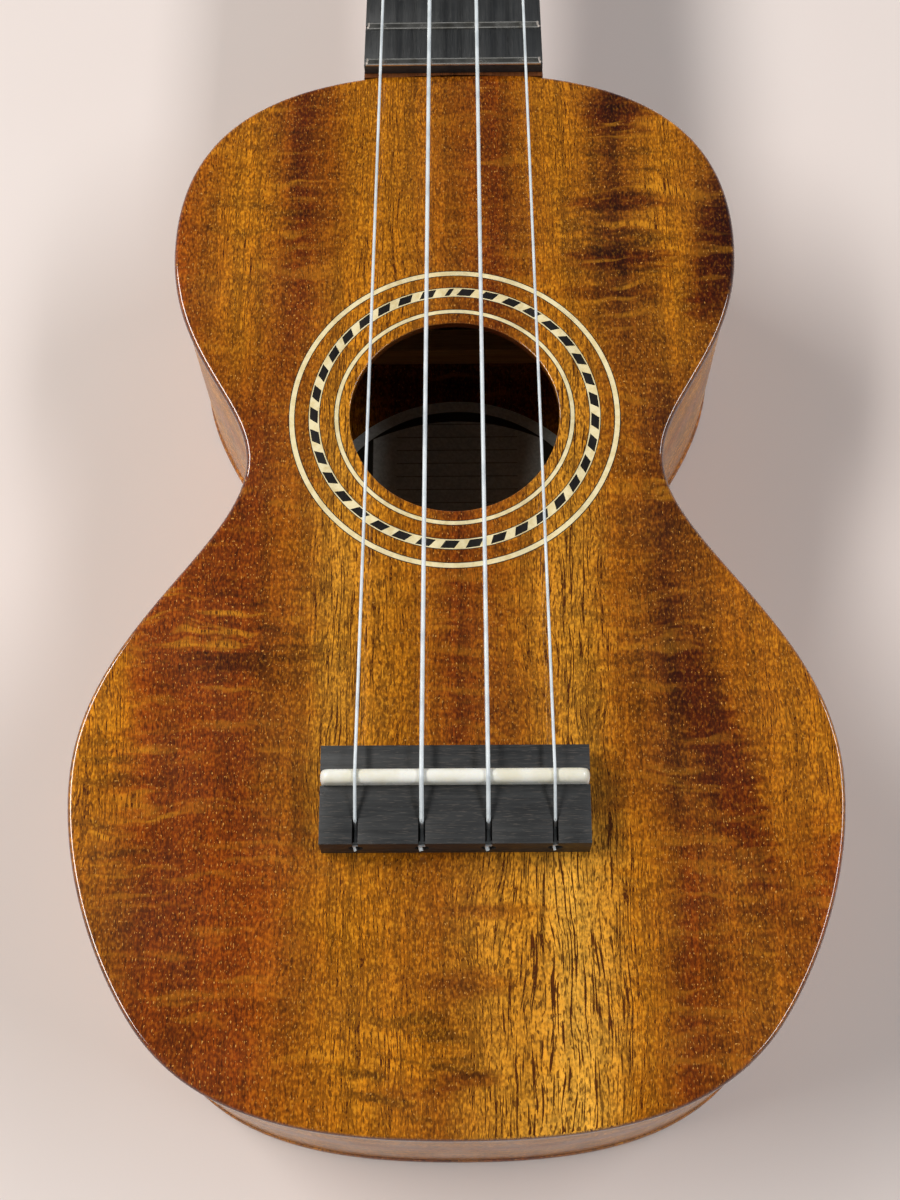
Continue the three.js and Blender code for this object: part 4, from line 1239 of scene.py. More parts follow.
@dataclass
class SoundBox:
    """Soundboard, back, bent sides, linings and the timber inside."""

    edge: float = 1.0
    hole: float = 22.9
    hole_edge: float = 0.3
    pocket_depth: float = 1.0
    pocket_gap: float = 0.02
    rings: tuple[Pair, ...] = ((25.2, 26.35), (29.45, 31.95), (34.85, 36.25))
    rib_inset: float = 0.5
    rib: float = 2.0
    lining: float = 5.0
    lining_height: float = 8.0
    glue: float = 0.1
    kerf: float = 0.9
    kerf_pitch: float = 6.0
    neck_block: Pair = (28.0, 68.0)
    tail_block: Pair = (26.0, -139.0)

    def rim(self, low: float, high: float) -> list[PlateSection]:
        """The rounded rim of a plate, from its upper face round to its lower face."""
        arc = [(self.edge * s, self.edge * c) for s, c in quarter(6)]
        upper = [PlateSection(None, self.edge - s, high - c) for s, c in arc]
        lower = [PlateSection(None, self.edge - s, low + c) for s, c in reversed(arc)]
        first = PlateSection(None, self.edge + 0.35, high)
        last = PlateSection(None, self.edge + 0.35, low)
        return [first, *upper, *lower, last]

    def build_soundboard(self) -> bpy.types.Object:
        """The soundboard, with its hole and the pockets that its rings lie in."""
        sections = []
        arc = quarter(4)
        for s, c in arc:
            sections.append(PlateSection(self.hole + self.hole_edge * c, 0, TOP - self.hole_edge * (1 - s)))
        for inner, outer in self.rings:
            low, high = inner - self.pocket_gap, outer + self.pocket_gap
            floor = TOP - self.pocket_depth
            sections += [PlateSection(low, 0, TOP), PlateSection(low, 0, floor)]
            sections += [PlateSection(high, 0, floor), PlateSection(high, 0, TOP)]
        sections += self.rim(UNDERSIDE, TOP)
        for s, c in reversed(arc):
            radius = self.hole + self.hole_edge * c
            sections.append(PlateSection(radius, 0, UNDERSIDE + self.hole_edge * (1 - s)))
        middle = Vector((0.0, 0.0))
        return smooth(skin("soundboard_fine", [s.ring(middle) for s in sections], loop=True))

    def build_back(self) -> bpy.types.Object:
        """The flat back."""
        middle = Vector((0.0, -15.0))
        inner = [30.0, 10.0]
        sections = [PlateSection(r, 0, PLATE) for r in reversed(inner)]
        sections += self.rim(0.0, PLATE)
        sections += [PlateSection(r, 0, 0.0) for r in inner]
        return smooth(skin("back_fine", [s.ring(middle) for s in sections]))

    def path_mesh(self, side: int, inset: float, first: float, last: float) -> bpy.types.Mesh:
        """An open line along one side of the body, level with the back.

        Args:
            side: -1 for the left, 1 for the right.
            inset: Millimetres inside the outline.
            first: The line leaves out what lies nearer the middle than this at the neck.
            last: The same at the tail.

        Returns:
            The line, from the neck to the tail.
        """
        half = OUTLINE.half(inset)
        kept = [p for p in half if p.x > (first if p.y > 0 else last)]
        before, after = half[half.index(kept[0]) - 1], half[half.index(kept[-1]) + 1]
        kept.insert(0, before.lerp(kept[0], (first - before.x) / (kept[0].x - before.x)))
        kept.append(kept[-1].lerp(after, (kept[-1].x - last) / (kept[-1].x - after.x)))
        mesh = bpy.data.meshes.new("path")
        points = [tuple(spot(side * p.x, p.y, 0)) for p in kept]
        mesh.from_pydata(points, [(i, i + 1) for i in range(len(points) - 1)], [])
        return mesh

    def build_rib(self, side: int) -> bpy.types.Object:
        """One bent side, swept along the outline by Geometry Nodes."""
        tree = bpy.data.node_groups.get("bent_strip") or self.strip_tree()
        name = "rib_left_fine" if side < 0 else "rib_right_fine"
        low, high = PLATE, UNDERSIDE
        values = {
            "Thickness": self.rib * MM,
            "Height": (high - low) * MM,
            "Level": (low + high) / 2 * MM,
            "Finish": FINISH.rib,
        }
        path = self.path_mesh(side, self.rib_inset + self.rib / 2, 0.005, 0.005)
        piece = grow(name, tree, values, path)
        edit(piece, settle)
        return smooth(piece, 30.0)

    def strip_tree(self) -> bpy.types.NodeTree:
        """A tree that bends an upright strip along a line and marks the distance along it."""
        sizes = {
            "Thickness": ("NodeSocketFloat", 0.002),
            "Height": ("NodeSocketFloat", 0.05),
            "Level": ("NodeSocketFloat", 0.03),
            "Finish": ("NodeSocketMaterial", None),
        }
        graph, given, made = new_shape_tree("bent_strip", sizes)
        curve = graph.node("GeometryNodeMeshToCurve", {0: given["Geometry"]}).outputs[0]
        lift = graph.combine(0.0, 0.0, given["Level"])
        raised = graph.node("GeometryNodeSetPosition", {"Geometry": curve, "Offset": lift}).outputs[0]
        upright = graph.node("GeometryNodeSetCurveNormal", {"Curve": raised}, mode="Z_UP").outputs[0]
        along = graph.node("GeometryNodeSplineParameter").outputs["Length"]
        marked = graph.node(
            "GeometryNodeStoreNamedAttribute",
            {"Geometry": upright, "Name": "along", "Value": along},
            data_type="FLOAT",
            domain="POINT",
        )
        section = graph.node(
            "GeometryNodeCurvePrimitiveQuadrilateral",
            {"Width": given["Thickness"], "Height": given["Height"]},
            mode="RECTANGLE",
        )
        swept = graph.node(
            "GeometryNodeCurveToMesh",
            {"Curve": marked.outputs[0], "Profile Curve": section.outputs[0], "Fill Caps": True},
        )
        real = graph.node("GeometryNodeRealizeInstances", {0: swept.outputs[0]}).outputs[0]
        dressed = graph.node("GeometryNodeSetMaterial", {"Geometry": real, "Material": given["Finish"]})
        graph.feed(made["Geometry"], dressed.outputs[0])
        return graph.tree

    def kerf_tree(self) -> bpy.types.NodeTree:
        """A tree that sets a row of small blocks along a line; build_lining adds the thin backing strip."""
        sizes = {
            "Block": ("NodeSocketVector", None),
            "Pitch": ("NodeSocketFloat", 0.006),
            "Level": ("NodeSocketFloat", 0.0),
            "Finish": ("NodeSocketMaterial", None),
        }
        graph, given, made = new_shape_tree("kerfed_lining", sizes)
        curve = graph.node("GeometryNodeMeshToCurve", {0: given["Geometry"]}).outputs[0]
        lift = graph.combine(0.0, 0.0, given["Level"])
        raised = graph.node("GeometryNodeSetPosition", {"Geometry": curve, "Offset": lift}).outputs[0]
        points = graph.node(
            "GeometryNodeCurveToPoints", {"Curve": raised, "Length": given["Pitch"]}, mode="LENGTH"
        )
        brick = graph.node("GeometryNodeMeshCube", {"Size": given["Block"]}).outputs[0]
        _, tangent_y, _ = graph.split(points.outputs["Tangent"])
        tangent_x = graph.split(points.outputs["Tangent"])[0]
        turn = graph.combine(0.0, 0.0, graph.math("ARCTAN2", tangent_y, tangent_x))
        placed = graph.node(
            "GeometryNodeInstanceOnPoints", {"Points": points.outputs[0], "Instance": brick, "Rotation": turn}
        )
        real = graph.node("GeometryNodeRealizeInstances", {0: placed.outputs[0]}).outputs[0]
        dressed = graph.node("GeometryNodeSetMaterial", {"Geometry": real, "Material": given["Finish"]})
        graph.feed(made["Geometry"], dressed.outputs[0])
        return graph.tree

    def build_lining(self, side: int, low: float, top: bool) -> bpy.types.Object:
        """One kerfed lining: sawn blocks on a thin strip.

        Args:
            side: -1 for the left, 1 for the right.
            low: Height of its lower edge.
            top: Whether it carries the soundboard.

        Returns:
            The piece.
        """
        word = ("top" if top else "back") + "_lining_" + ("left" if side < 0 else "right")
        inside = self.rib_inset + self.rib + self.glue
        strip = 1.0
        neck_half, tail_half = self.neck_block[0] + 1, self.tail_block[0] + 1
        level = (low + self.lining_height / 2) * MM
        blocks_path = self.path_mesh(side, inside + (strip + self.lining) / 2, neck_half + 3, tail_half + 3)
        size = Vector((self.kerf_pitch - self.kerf, self.lining - strip + 0.1, self.lining_height)) * MM
        values = {"Block": size, "Pitch": self.kerf_pitch * MM, "Level": level, "Finish": FINISH.cross_spruce}
        tree = bpy.data.node_groups.get("kerfed_lining") or self.kerf_tree()
        blocks = grow(word + "_fine", tree, values, blocks_path)
        values = {
            "Thickness": strip * MM,
            "Height": (self.lining_height - 0.04) * MM,
            "Level": level,
            "Finish": FINISH.cross_spruce,
        }
        tree = bpy.data.node_groups.get("bent_strip") or self.strip_tree()
        backing = grow(
            word + "_strip", tree, values, self.path_mesh(side, inside + strip / 2, neck_half, tail_half)
        )
        return join(blocks, [backing])

    def build(self) -> None:
        """Builds and dresses the sound box."""
        fit(self.build_soundboard(), BODY, "koa", FINISH.top, "soundboard")
        fit(self.build_back(), BODY, "koa", FINISH.back, "back")
        for side, word in ((-1, "left"), (1, "right")):
            fit(self.build_rib(side), BODY, "koa", None, "rib_" + word)
            top = self.build_lining(side, UNDERSIDE - self.lining_height, True)
            fit(top, BODY, "bracing_spruce", None, "top_lining_" + word)
            back = self.build_lining(side, PLATE, False)
            fit(back, BODY, "bracing_spruce", None, "back_lining_" + word)
        self.dress_timber()

    def dress_timber(self) -> None:
        """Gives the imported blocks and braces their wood."""
        along = ("fan_brace_left", "fan_brace_centre", "fan_brace_right")
        across = (
            "upper_top_brace", "lower_top_brace", "upper_back_brace", "lower_back_brace", "bridge_patch"
        )
        for names, finish in ((along, FINISH.spruce), (across, FINISH.cross_spruce)):
            for name in names:
                paint_node(name, finish)
        for name in ("neck_block", "tail_block"):
            paint_node(name, FINISH.block)


def paint_node(node: str, material: bpy.types.Material) -> None:
    """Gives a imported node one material, in all its slots."""
    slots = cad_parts[node].material_slots
    for slot in slots:
        slot.material = material
    LOG.info("%s: packed node dressed in %s", node, material.name)


def join(first: bpy.types.Object, others: Sequence[bpy.types.Object]) -> bpy.types.Object:
    """Joins pieces of one finish into the first of them."""
    work = bmesh.new()
    for piece in (first, *others):
        work.from_mesh(piece.data)
    work.to_mesh(first.data)
    work.free()
    for piece in others:
        bpy.data.objects.remove(piece)
    return first


@dataclass
class Rosette:
    """The three inlaid rings and the label under the sound hole."""

    box: SoundBox
    tile_count: int = 36
    tile_share: float = 0.57
    tile_pitch: float = 9.83
    tile_radius: float = 30.7
    tile_width: float = 1.74
    tile_slant: float = -1.15
    tile_proud: float = 0.012
    tile_height: float = 0.3
    label_radius: float = 37.0
    label_y: float = -5.0

    def build_ring(self, name: str, inner: float, outer: float) -> bpy.types.Object:
        """One flat ring in its pocket."""
        low, high = TOP - self.box.pocket_depth + 0.01, TOP
        if name == "rosette_rope_ring":
            high -= 0.002
        profile = [(inner, low), (outer, low), (outer, high), (inner, high)]
        place = Matrix.Translation(spot(0, 0, 0)) @ Matrix.Scale(MM, 4)
        return smooth(lathe(name + "_fine", profile, place, 240))

    def tile_tree(self) -> bpy.types.NodeTree:
        """A tree that sets slanted tiles round a circle."""
        sizes = {
            "Count": ("NodeSocketInt", 36),
            "Pitch": ("NodeSocketFloat", 0.17),
            "Start": ("NodeSocketFloat", 0.0),
            "Radius": ("NodeSocketFloat", 0.03),
            "Tile": ("NodeSocketVector", None),
            "Slant": ("NodeSocketFloat", 0.5),
            "Centre": ("NodeSocketVector", None),
            "Finish": ("NodeSocketMaterial", None),
        }
        graph, given, made = new_shape_tree("rope_tiles", sizes)
        row = graph.node("GeometryNodeMeshLine", {"Count": given["Count"], "Offset": (0.0, 0.0, 0.0)})
        index = graph.node("GeometryNodeInputIndex").outputs[0]
        angle = graph.math("MULTIPLY_ADD", index, given["Pitch"], given["Start"])
        out = graph.combine(
            graph.math("MULTIPLY", graph.math("COSINE", angle), given["Radius"]),
            graph.math("MULTIPLY", graph.math("SINE", angle), given["Radius"]),
            0.0,
        )
        place = graph.vector("ADD", out, given["Centre"])
        points = graph.node(
            "GeometryNodeSetPosition", {"Geometry": row.outputs[0], "Position": place}
        ).outputs[0]
        brick = graph.node("GeometryNodeMeshCube", {"Size": given["Tile"]})
        x, _, _ = graph.split(graph.node("GeometryNodeInputPosition").outputs[0])
        shear = graph.combine(0.0, graph.math("MULTIPLY", x, given["Slant"]), 0.0)
        tile = graph.node(
            "GeometryNodeSetPosition", {"Geometry": brick.outputs[0], "Offset": shear}
        ).outputs[0]
        placed = graph.node(
            "GeometryNodeInstanceOnPoints",
            {"Points": points, "Instance": tile, "Rotation": graph.combine(0.0, 0.0, angle)},
        )
        real = graph.node("GeometryNodeRealizeInstances", {0: placed.outputs[0]}).outputs[0]
        dressed = graph.node("GeometryNodeSetMaterial", {"Geometry": real, "Material": given["Finish"]})
        graph.feed(made["Geometry"], dressed.outputs[0])
        return graph.tree

    def build_tiles(self) -> bpy.types.Object:
        """The black tiles of the rope ring, and the narrow one at its seam."""
        tree = self.tile_tree()
        width = self.tile_share * math.radians(self.tile_pitch) * self.tile_radius
        seam = 2.0
        values = {
            "Count": self.tile_count,
            "Pitch": math.radians(self.tile_pitch),
            "Start": math.radians(90.0 + self.tile_pitch / 2 - 360.0 + 6.1),
            "Radius": self.tile_radius * MM,
            "Tile": Vector((self.tile_width, width, self.tile_height)) * MM,
            "Slant": self.tile_slant / self.tile_width,
            "Centre": spot(0, 0, TOP + self.tile_proud - self.tile_height / 2),
            "Finish": FINISH.tile,
        }
        tiles = grow("rosette_rope_tiles", tree, values)
        size = Vector((self.tile_width, width * 0.36, self.tile_height)) * MM
        values.update({"Count": 1, "Start": math.radians(90.0 + seam), "Tile": size})
        return smooth(join(tiles, [grow("seam_tile", tree, values)]))

    def build_label(self) -> bpy.types.Object:
        """The paper label glued to the back."""
        low, high = PLATE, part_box("label")[1].z / MM
        place = Matrix.Translation(spot(0, self.label_y, 0)) @ Matrix.Scale(MM, 4)
        profile = [(0, low), (self.label_radius, low), (self.label_radius, high), (0, high)]
        return smooth(lathe("label_fine", profile, place, 160))

    def build(self) -> None:
        """Builds and dresses the rosette and the label."""
        names = ("rosette_inner_ring", "rosette_rope_ring", "rosette_outer_ring")
        finishes = (FINISH.inner_ring, FINISH.rope_ring, FINISH.outer_ring)
        for name, (inner, outer), finish in zip(names, self.box.rings, finishes):
            fit(self.build_ring(name, inner, outer), BODY, "inlay_maple", finish, name)
        fit(self.build_tiles(), BODY, "inlay_maple", None)
        fit(self.build_label(), BODY, "label_paper", FINISH.label, "label")


@dataclass
class StringSpec:
    """One string: its place in the row, its thickness and which post it goes to."""

    name: str
    order: float
    diameter: float
    post: int


STRINGS = (
    StringSpec("string_g", -1.5, 0.66, 1),
    StringSpec("string_c", -0.5, 0.9, 2),
    StringSpec("string_e", 0.5, 0.86, 3),
    StringSpec("string_a", 1.5, 0.62, 4),
)


@dataclass
class Bridge:
    """The tie bridge, its saddle, and the knots behind it."""

    half_width: float = 26.7
    front: float = -77.2
    tail: float = -97.2
    height: float = 7.5
    saddle_y: float = -83.9
    saddle_thickness: float = 2.9
    saddle_half: float = 26.6
    saddle_seat: float = 3.0
    saddle_top: float = 10.25
    saddle_corner: float = 2.0
    slot_start: float = -92.1
    slot_drop: float = 3.6
    slot_run: float = 1.3
    slot_play: float = 0.25
    spacing: float = 13.1
    recess: float = 1.5

    def build_body(self) -> bpy.types.Object:
        """The ebony block, with the saddle's seat and a slot and a recess for each string."""
        top = TOP + self.height
        piece = block("bridge_fine", (-self.half_width, self.tail, TOP), (self.half_width, self.front, top))
        half = self.saddle_thickness / 2 + 0.05
        seat = TOP + self.saddle_seat
        tools = [block("seat", (-40, self.saddle_y - half, seat), (40, self.saddle_y + half, top + 2))]
        for spec in STRINGS:
            x = spec.order * self.spacing
            half = spec.diameter / 2 + self.slot_play
            past = self.tail - 1
            corners = [(self.slot_start, top), (self.slot_start, top + 1), (past, top + 1)]
            corners += [(past, top - self.slot_drop), (self.slot_start - self.slot_run, top - self.slot_drop)]
            rings = [[spot(x + side, y, z) for y, z in corners] for side in (-half, half)]
            tools.append(skin("slot", rings))
            away = Matrix.Translation(spot(x, self.tail, top - self.slot_drop + 0.1)) @ Matrix.Scale(MM, 4)
            away = away @ Matrix.Rotation(math.pi / 2, 4, "X")
            tools.append(
                lathe("recess", [(0, -1.3), (self.recess, -1.3), (self.recess, 1), (0, 1)], away, 32)
            )
        return soften(cut(piece, tools), 0.16, 2)

    def build_saddle(self) -> bpy.types.Object:
        """The bone saddle, with rounded shoulders and a rounded crown."""
        low, high = TOP + self.saddle_seat, TOP + self.saddle_top
        half, corner = self.saddle_half, self.saddle_corner
        path = rounded([(-half, low, 0.2), (half, low, 0.2), (half, high, corner), (-half, high, corner)], 6)
        crown = self.saddle_thickness / 2
        return smooth(skin("saddle_fine", self.saddle_rings(path, crown, low)), 40.0)

    def saddle_rings(self, path: Sequence[Pair], crown: float, low: float) -> list[list[Vector]]:
        """Slices of the saddle from back to front, smaller towards both faces."""
        slices = 7
        rings = []
        for i in range(-slices, slices + 1):
            angle = math.pi / 2 * i / slices
            rings.append(
                self.saddle_ring(
                    path, crown * 0.92 * (1 - math.cos(angle)), self.saddle_y + crown * math.sin(angle), low
                )
            )
        return rings

    def saddle_ring(self, path: Sequence[Pair], shrink: float, y: float, low: float) -> list[Vector]:
        """One slice of the saddle, with its top and ends drawn in."""
        high = TOP + self.saddle_top
        ring = []
        for x, z in path:
            drop = shrink * (z - low) / (high - low)
            ring.append(spot(x * (1 - 0.35 * shrink / self.saddle_half), y, z - drop))
        return ring

    def knot(self, spec: StringSpec) -> bpy.types.Object:
        """The knot that holds a string in its recess, with its short cut end."""
        x = spec.order * self.spacing
        z = TOP + self.height - self.slot_drop + 0.05
        turns, steps = 1.6, 40
        radius = spec.diameter * 0.5 + 0.05
        path = []
        for i in range(steps + 1):
            angle = math.tau * turns * i / steps
            y = self.tail + 0.75 + 0.7 * (0.5 - i / steps)
            path.append(spot(x + radius * math.cos(angle), y, z + radius * math.sin(angle)))
        end = path[-1] + Vector((0.25, -0.8, -0.35)) * MM
        path += [path[-1].lerp(end, 0.5), end]
        return tube("knot_" + spec.name[-1], path, spec.diameter / 2 * MM * 0.92, 10)

    def build(self) -> None:
        """Builds and dresses the bridge."""
        fit(self.build_body(), BODY, "ebony", FINISH.bridge, "bridge")
        fit(self.build_saddle(), BODY, "bone", FINISH.bone, "saddle")
        for spec in STRINGS:
            fit(self.knot(spec), BODY, "string", FINISH.string)


# ---------------------------------------------------------------- neck


@dataclass
class HeadFrame:
    """The headstock's own frame: it starts behind the nut and is tilted back."""

    start: float = 269.1
    tilt: float = 12.0

    def matrix(self) -> Matrix:
        """Turns headstock millimetres into the model's frame."""
        turn = Matrix.Rotation(-math.radians(self.tilt), 4, "X")
        return Matrix.Translation(spot(0, self.start, TOP)) @ turn @ Matrix.Scale(MM, 4)


HEAD = HeadFrame()


@dataclass
class Neck:
    """Neck, heel and headstock in one timber, with the fretboard, frets, nut and headplate."""

    board_end: float = 90.2
    nut_y: float = 264.1
    half_body: float = 21.0
    half_nut: float = 17.6
    scale: float = 346.0
    fret_count: int = 12
    board_thickness: float = 3.0
    fret_half: float = 1.0
    fret_crown: float = 0.85
    fret_short: float = 0.35
    heel_cap: float = 105.0
    heel_top: float = 131.0
    heel_depth: float = 61.0
    heel_floor: float = 3.0
    shaft_heel: float = 16.0
    shaft_nut: float = 13.5
    head_thickness: float = 12.0
    head_length: float = 113.0
    headplate: float = 2.0
    glue: float = 0.1
    dots: tuple[int, ...] = (5, 7, 10)
    dot_radius: float = 2.5
    section_steps: int = 48

    def half_width(self, y: float) -> float:
        """Half of the fretboard's width at a place along it."""
        share = (y - self.board_end) / (self.nut_y - self.board_end)
        return self.half_body + share * (self.half_nut - self.half_body)

    def fret_y(self, number: float) -> float:
        """Where a fret stands."""
        return self.nut_y - self.scale * (1 - 2 ** (-number / 12))

    def depth(self, y: float) -> float:
        """How deep the neck is under its flat top."""
        if y <= self.heel_cap:
            return self.heel_depth
        if y >= self.heel_top:
            share = (y - self.heel_top) / (self.nut_y - self.heel_top)
            return self.shaft_heel + share * (self.shaft_nut - self.shaft_heel)
        t = (self.heel_top - y) / (self.heel_top - self.heel_cap)
        return self.shaft_heel + (self.heel_depth - self.shaft_heel) * (1 - math.sqrt(1 - t**2))

    def section(self, half: float, depth: float, square: float) -> list[Vector]:
        """A flat-topped cross-section, from the right edge round the belly to the left edge."""
        points = []
        for i in range(self.section_steps + 1):
            angle = math.pi * i / self.section_steps
            c, s = math.cos(angle), math.sin(angle)
            x = half * math.copysign(abs(c) ** (2 / square), c)
            points.append(Vector((x, 0, -depth * abs(s) ** (2 / square))))
        return points

    def head_outline(self, inset: float, steps: int = 24) -> list[Vector]:
        """The right half of the headstock's outline, from the nut to its tip."""
        half, crest = self.half_nut - inset, self.head_length - inset
        curves = (
            ((half, 0), (half, 12), (26.5 - inset, 12), (27 - inset, 26)),
            ((27 - inset, 26), (27.5 - inset, 50), (26 - inset, 70), (29 - inset, crest - 12)),
            ((29 - inset, crest - 12), (29.6 - inset, crest - 5), (24 - inset, crest - 4.5), (17, crest - 3)),
            ((17, crest - 3), (11, crest - 1.2), (5, crest), (0, crest)),
        )
        points = [Vector(curves[0][0])]
        for curve in curves:
            ends = [Vector((x, y, 0)) for x, y in curve]
            points += [Vector(p[:2]) for p in geometry.interpolate_bezier(*ends, steps + 1)[1:]]
        return points

    def build_wood(self) -> bpy.types.Object:
        """The neck timber, one skin from the heel to the headstock's tip."""
        rings = []
        first = self.section(self.half_width(86), self.heel_depth, 2.2)
        rings.append(
            [spot(p.x, OUTLINE.y_at(p.x) + self.glue, max(TOP + p.z, self.heel_floor)) for p in first]
        )
        heel = [
            self.heel_cap + (self.heel_top - self.heel_cap) * (
                1 - math.cos(math.pi / 2 * i / 22)
            ) for i in range(23)
        ]
        shaft = [self.heel_top + (self.nut_y - self.heel_top) * i / 12 for i in range(1, 13)]
        for y in [95.0, 100.0, *heel, *shaft]:
            section = self.section(self.half_width(y), self.depth(y), 2.2)
            rings.append([spot(p.x, y, max(TOP + p.z, self.heel_floor)) for p in section])
        head = HEAD.matrix()
        half = self.half_nut
        last = self.section(half, self.shaft_nut, 2.3)
        rings.append([spot(p.x, HEAD.start - 0.5, TOP + p.z) for p in last])
        outline = self.head_outline(0)
        for p in outline:
            if p.y < 3:
                continue
            share = min(1.0, p.y / 26)
            depth = self.shaft_nut + (self.head_thickness - self.shaft_nut) * min(1.0, p.y / 14)
            square = 2.4 + 9 * share**2
            width = max(p.x, 0.01)
            rings.append([head @ Vector((q.x, p.y, q.z)) for q in self.section(width, depth, square)])
        piece = skin("neck_fine", rings)
        cutters = [self.drill(spec) for spec in TUNERS]
        cut(piece, cutters)
        return smooth(piece, 38.0)

    def drill(self, spec: "TunerPlace") -> bpy.types.Object:
        """A cutter for the hole that a tuner's bushing sits in."""
        place = HEAD.matrix() @ Matrix.Translation((spec.side * 18.0, spec.along, 0))
        return lathe("drill", [(0, -30), (4.2, -30), (4.2, 20), (0, 20)], place, 40)

    def build_headplate(self) -> bpy.types.Object:
        """The thin koa face of the headstock."""
        right = [p for p in self.head_outline(0.3) if p.y >= 0.35]
        loop = [*right, *[Vector((-p.x, p.y)) for p in reversed(right[:-1])]]
        head = HEAD.matrix()
        low, high = self.glue, self.glue + self.headplate
        rings = [[head @ Vector((p.x, p.y, z)) for p in loop] for z in (low, high)]
        piece = cut(skin("headplate_fine", rings), [self.drill(spec) for spec in TUNERS])
        return soften(piece, 0.35, 3)

    def fret_tree(self) -> bpy.types.NodeTree:
        """A tree that sets frets along a board by the rule of the twelfth root of two."""
        sizes = {
            "Frets": ("NodeSocketInt", 12),
            "Scale Length": ("NodeSocketFloat", 0.346),
            "Nut": ("NodeSocketVector", None),
            "Half At Nut": ("NodeSocketFloat", 0.018),
            "Flare": ("NodeSocketFloat", 0.02),
            "Finish": ("NodeSocketMaterial", None),
        }
        graph, given, made = new_shape_tree("frets", sizes)
        row = graph.node("GeometryNodeMeshLine", {"Count": given["Frets"], "Offset": (0.0, 0.0, 0.0)})
        index = graph.node("GeometryNodeInputIndex").outputs[0]
        number = graph.math("DIVIDE", graph.math("ADD", index, 1.0), -12.0)
        left_over = graph.math("POWER", 2.0, number)
        back = graph.math("MULTIPLY", graph.math("SUBTRACT", 1.0, left_over), given["Scale Length"])
        offset = graph.combine(0.0, graph.math("MULTIPLY", back, -1.0), 0.0)
        place = graph.vector("ADD", given["Nut"], offset)
        points = graph.node(
            "GeometryNodeSetPosition", {"Geometry": row.outputs[0], "Position": place}
        ).outputs[0]
        half = graph.math("MULTIPLY_ADD", back, given["Flare"], given["Half At Nut"])
        placed = graph.node(
            "GeometryNodeInstanceOnPoints",
            {"Points": points, "Instance": given["Geometry"], "Scale": graph.combine(half, 1.0, 1.0)},
        )
        real = graph.node("GeometryNodeRealizeInstances", {0: placed.outputs[0]}).outputs[0]
        dressed = graph.node("GeometryNodeSetMaterial", {"Geometry": real, "Material": given["Finish"]})
        graph.feed(made["Geometry"], dressed.outputs[0])
        return graph.tree

    def fret_bar(self) -> bpy.types.Mesh:
        """One fret about its own middle, two units wide, with sloping ends."""
        slope = 0.035
        profile = [(-self.fret_half, 0.0)]
        for i in range(1, 10):
            angle = math.pi * (1 - i / 10)
            profile.append((self.fret_half * math.cos(angle), self.fret_crown * math.sin(angle)))
        profile.append((self.fret_half, 0.0))
        profile += [(0.24, -0.02), (0.24, -1.8), (-0.24, -1.8), (-0.24, -0.02)]
        rings = []
        for side in (-1, 1):
            ends = [1 - slope * max(0.0, z) / self.fret_crown for _, z in profile]
            rings.append([Vector((side * e, y * MM, z * MM)) for (y, z), e in zip(profile, ends)])
        piece = skin("fret_bar", rings)
        mesh = piece.data
        bpy.data.objects.remove(piece)
        return mesh

    def build_frets(self) -> bpy.types.Object:
        """The frets, set in their slots by Geometry Nodes."""
        flare = (self.half_body - self.half_nut) / (self.nut_y - self.board_end)
        values = {
            "Frets": self.fret_count,
            "Scale Length": self.scale * MM,
            "Nut": spot(0, self.nut_y, TOP + self.board_thickness),
            "Half At Nut": (self.half_nut - self.fret_short) * MM,
            "Flare": flare,
            "Finish": FINISH.fret,
        }
        return smooth(grow("frets_fine", self.fret_tree(), values, self.fret_bar()), 30.0)

    def build_dots(self) -> bpy.types.Object:
        """The pearl position dots, let into the fretboard halfway between frets."""
        top = TOP + self.board_thickness
        dots = []
        for number in self.dots:
            y = (self.fret_y(number) + self.fret_y(number - 1)) / 2
            place = Matrix.Translation(spot(0, y, top)) @ Matrix.Scale(MM, 4)
            radius = self.dot_radius
            profile = [(0, -0.8), (radius, -0.8), (radius, 0.004), (radius - 0.05, 0.02), (0, 0.02)]
            dots.append(lathe(f"dot_{number}", profile, place, 40))
        piece = join(dots[0], dots[1:])
        piece.name = "position_dots"
        return smooth(piece, 40.0)

    def build(self) -> None:
        """Builds and dresses the neck."""
        fit(self.build_wood(), BODY, "neck_wood", FINISH.neck, "neck")
        fit(self.build_headplate(), BODY, "koa", FINISH.headplate, "headplate")
        fit(soften(copy_of("fretboard", "fretboard_fine"), 0.18, 2), BODY, "ebony", FINISH.board, "fretboard")
        fit(soften(copy_of("nut", "nut_fine"), 0.2, 2), BODY, "bone", FINISH.bone, "nut")
        names = [f"fret_{number}" for number in range(1, self.fret_count + 1)]
        fit(self.build_frets(), BODY, "fret_wire", None, *names)
        fit(self.build_dots(), BODY, "inlay_maple", FINISH.pearl)


# ---------------------------------------------------------------- tuners


@dataclass(frozen=True)
class TunerPlace:
    """Where a tuner stands on the headstock."""

    number: int
    side: int
    along: float


TUNERS = (TunerPlace(1, -1, 38.0), TunerPlace(2, -1, 78.0), TunerPlace(3, 1, 78.0), TunerPlace(4, 1, 38.0))


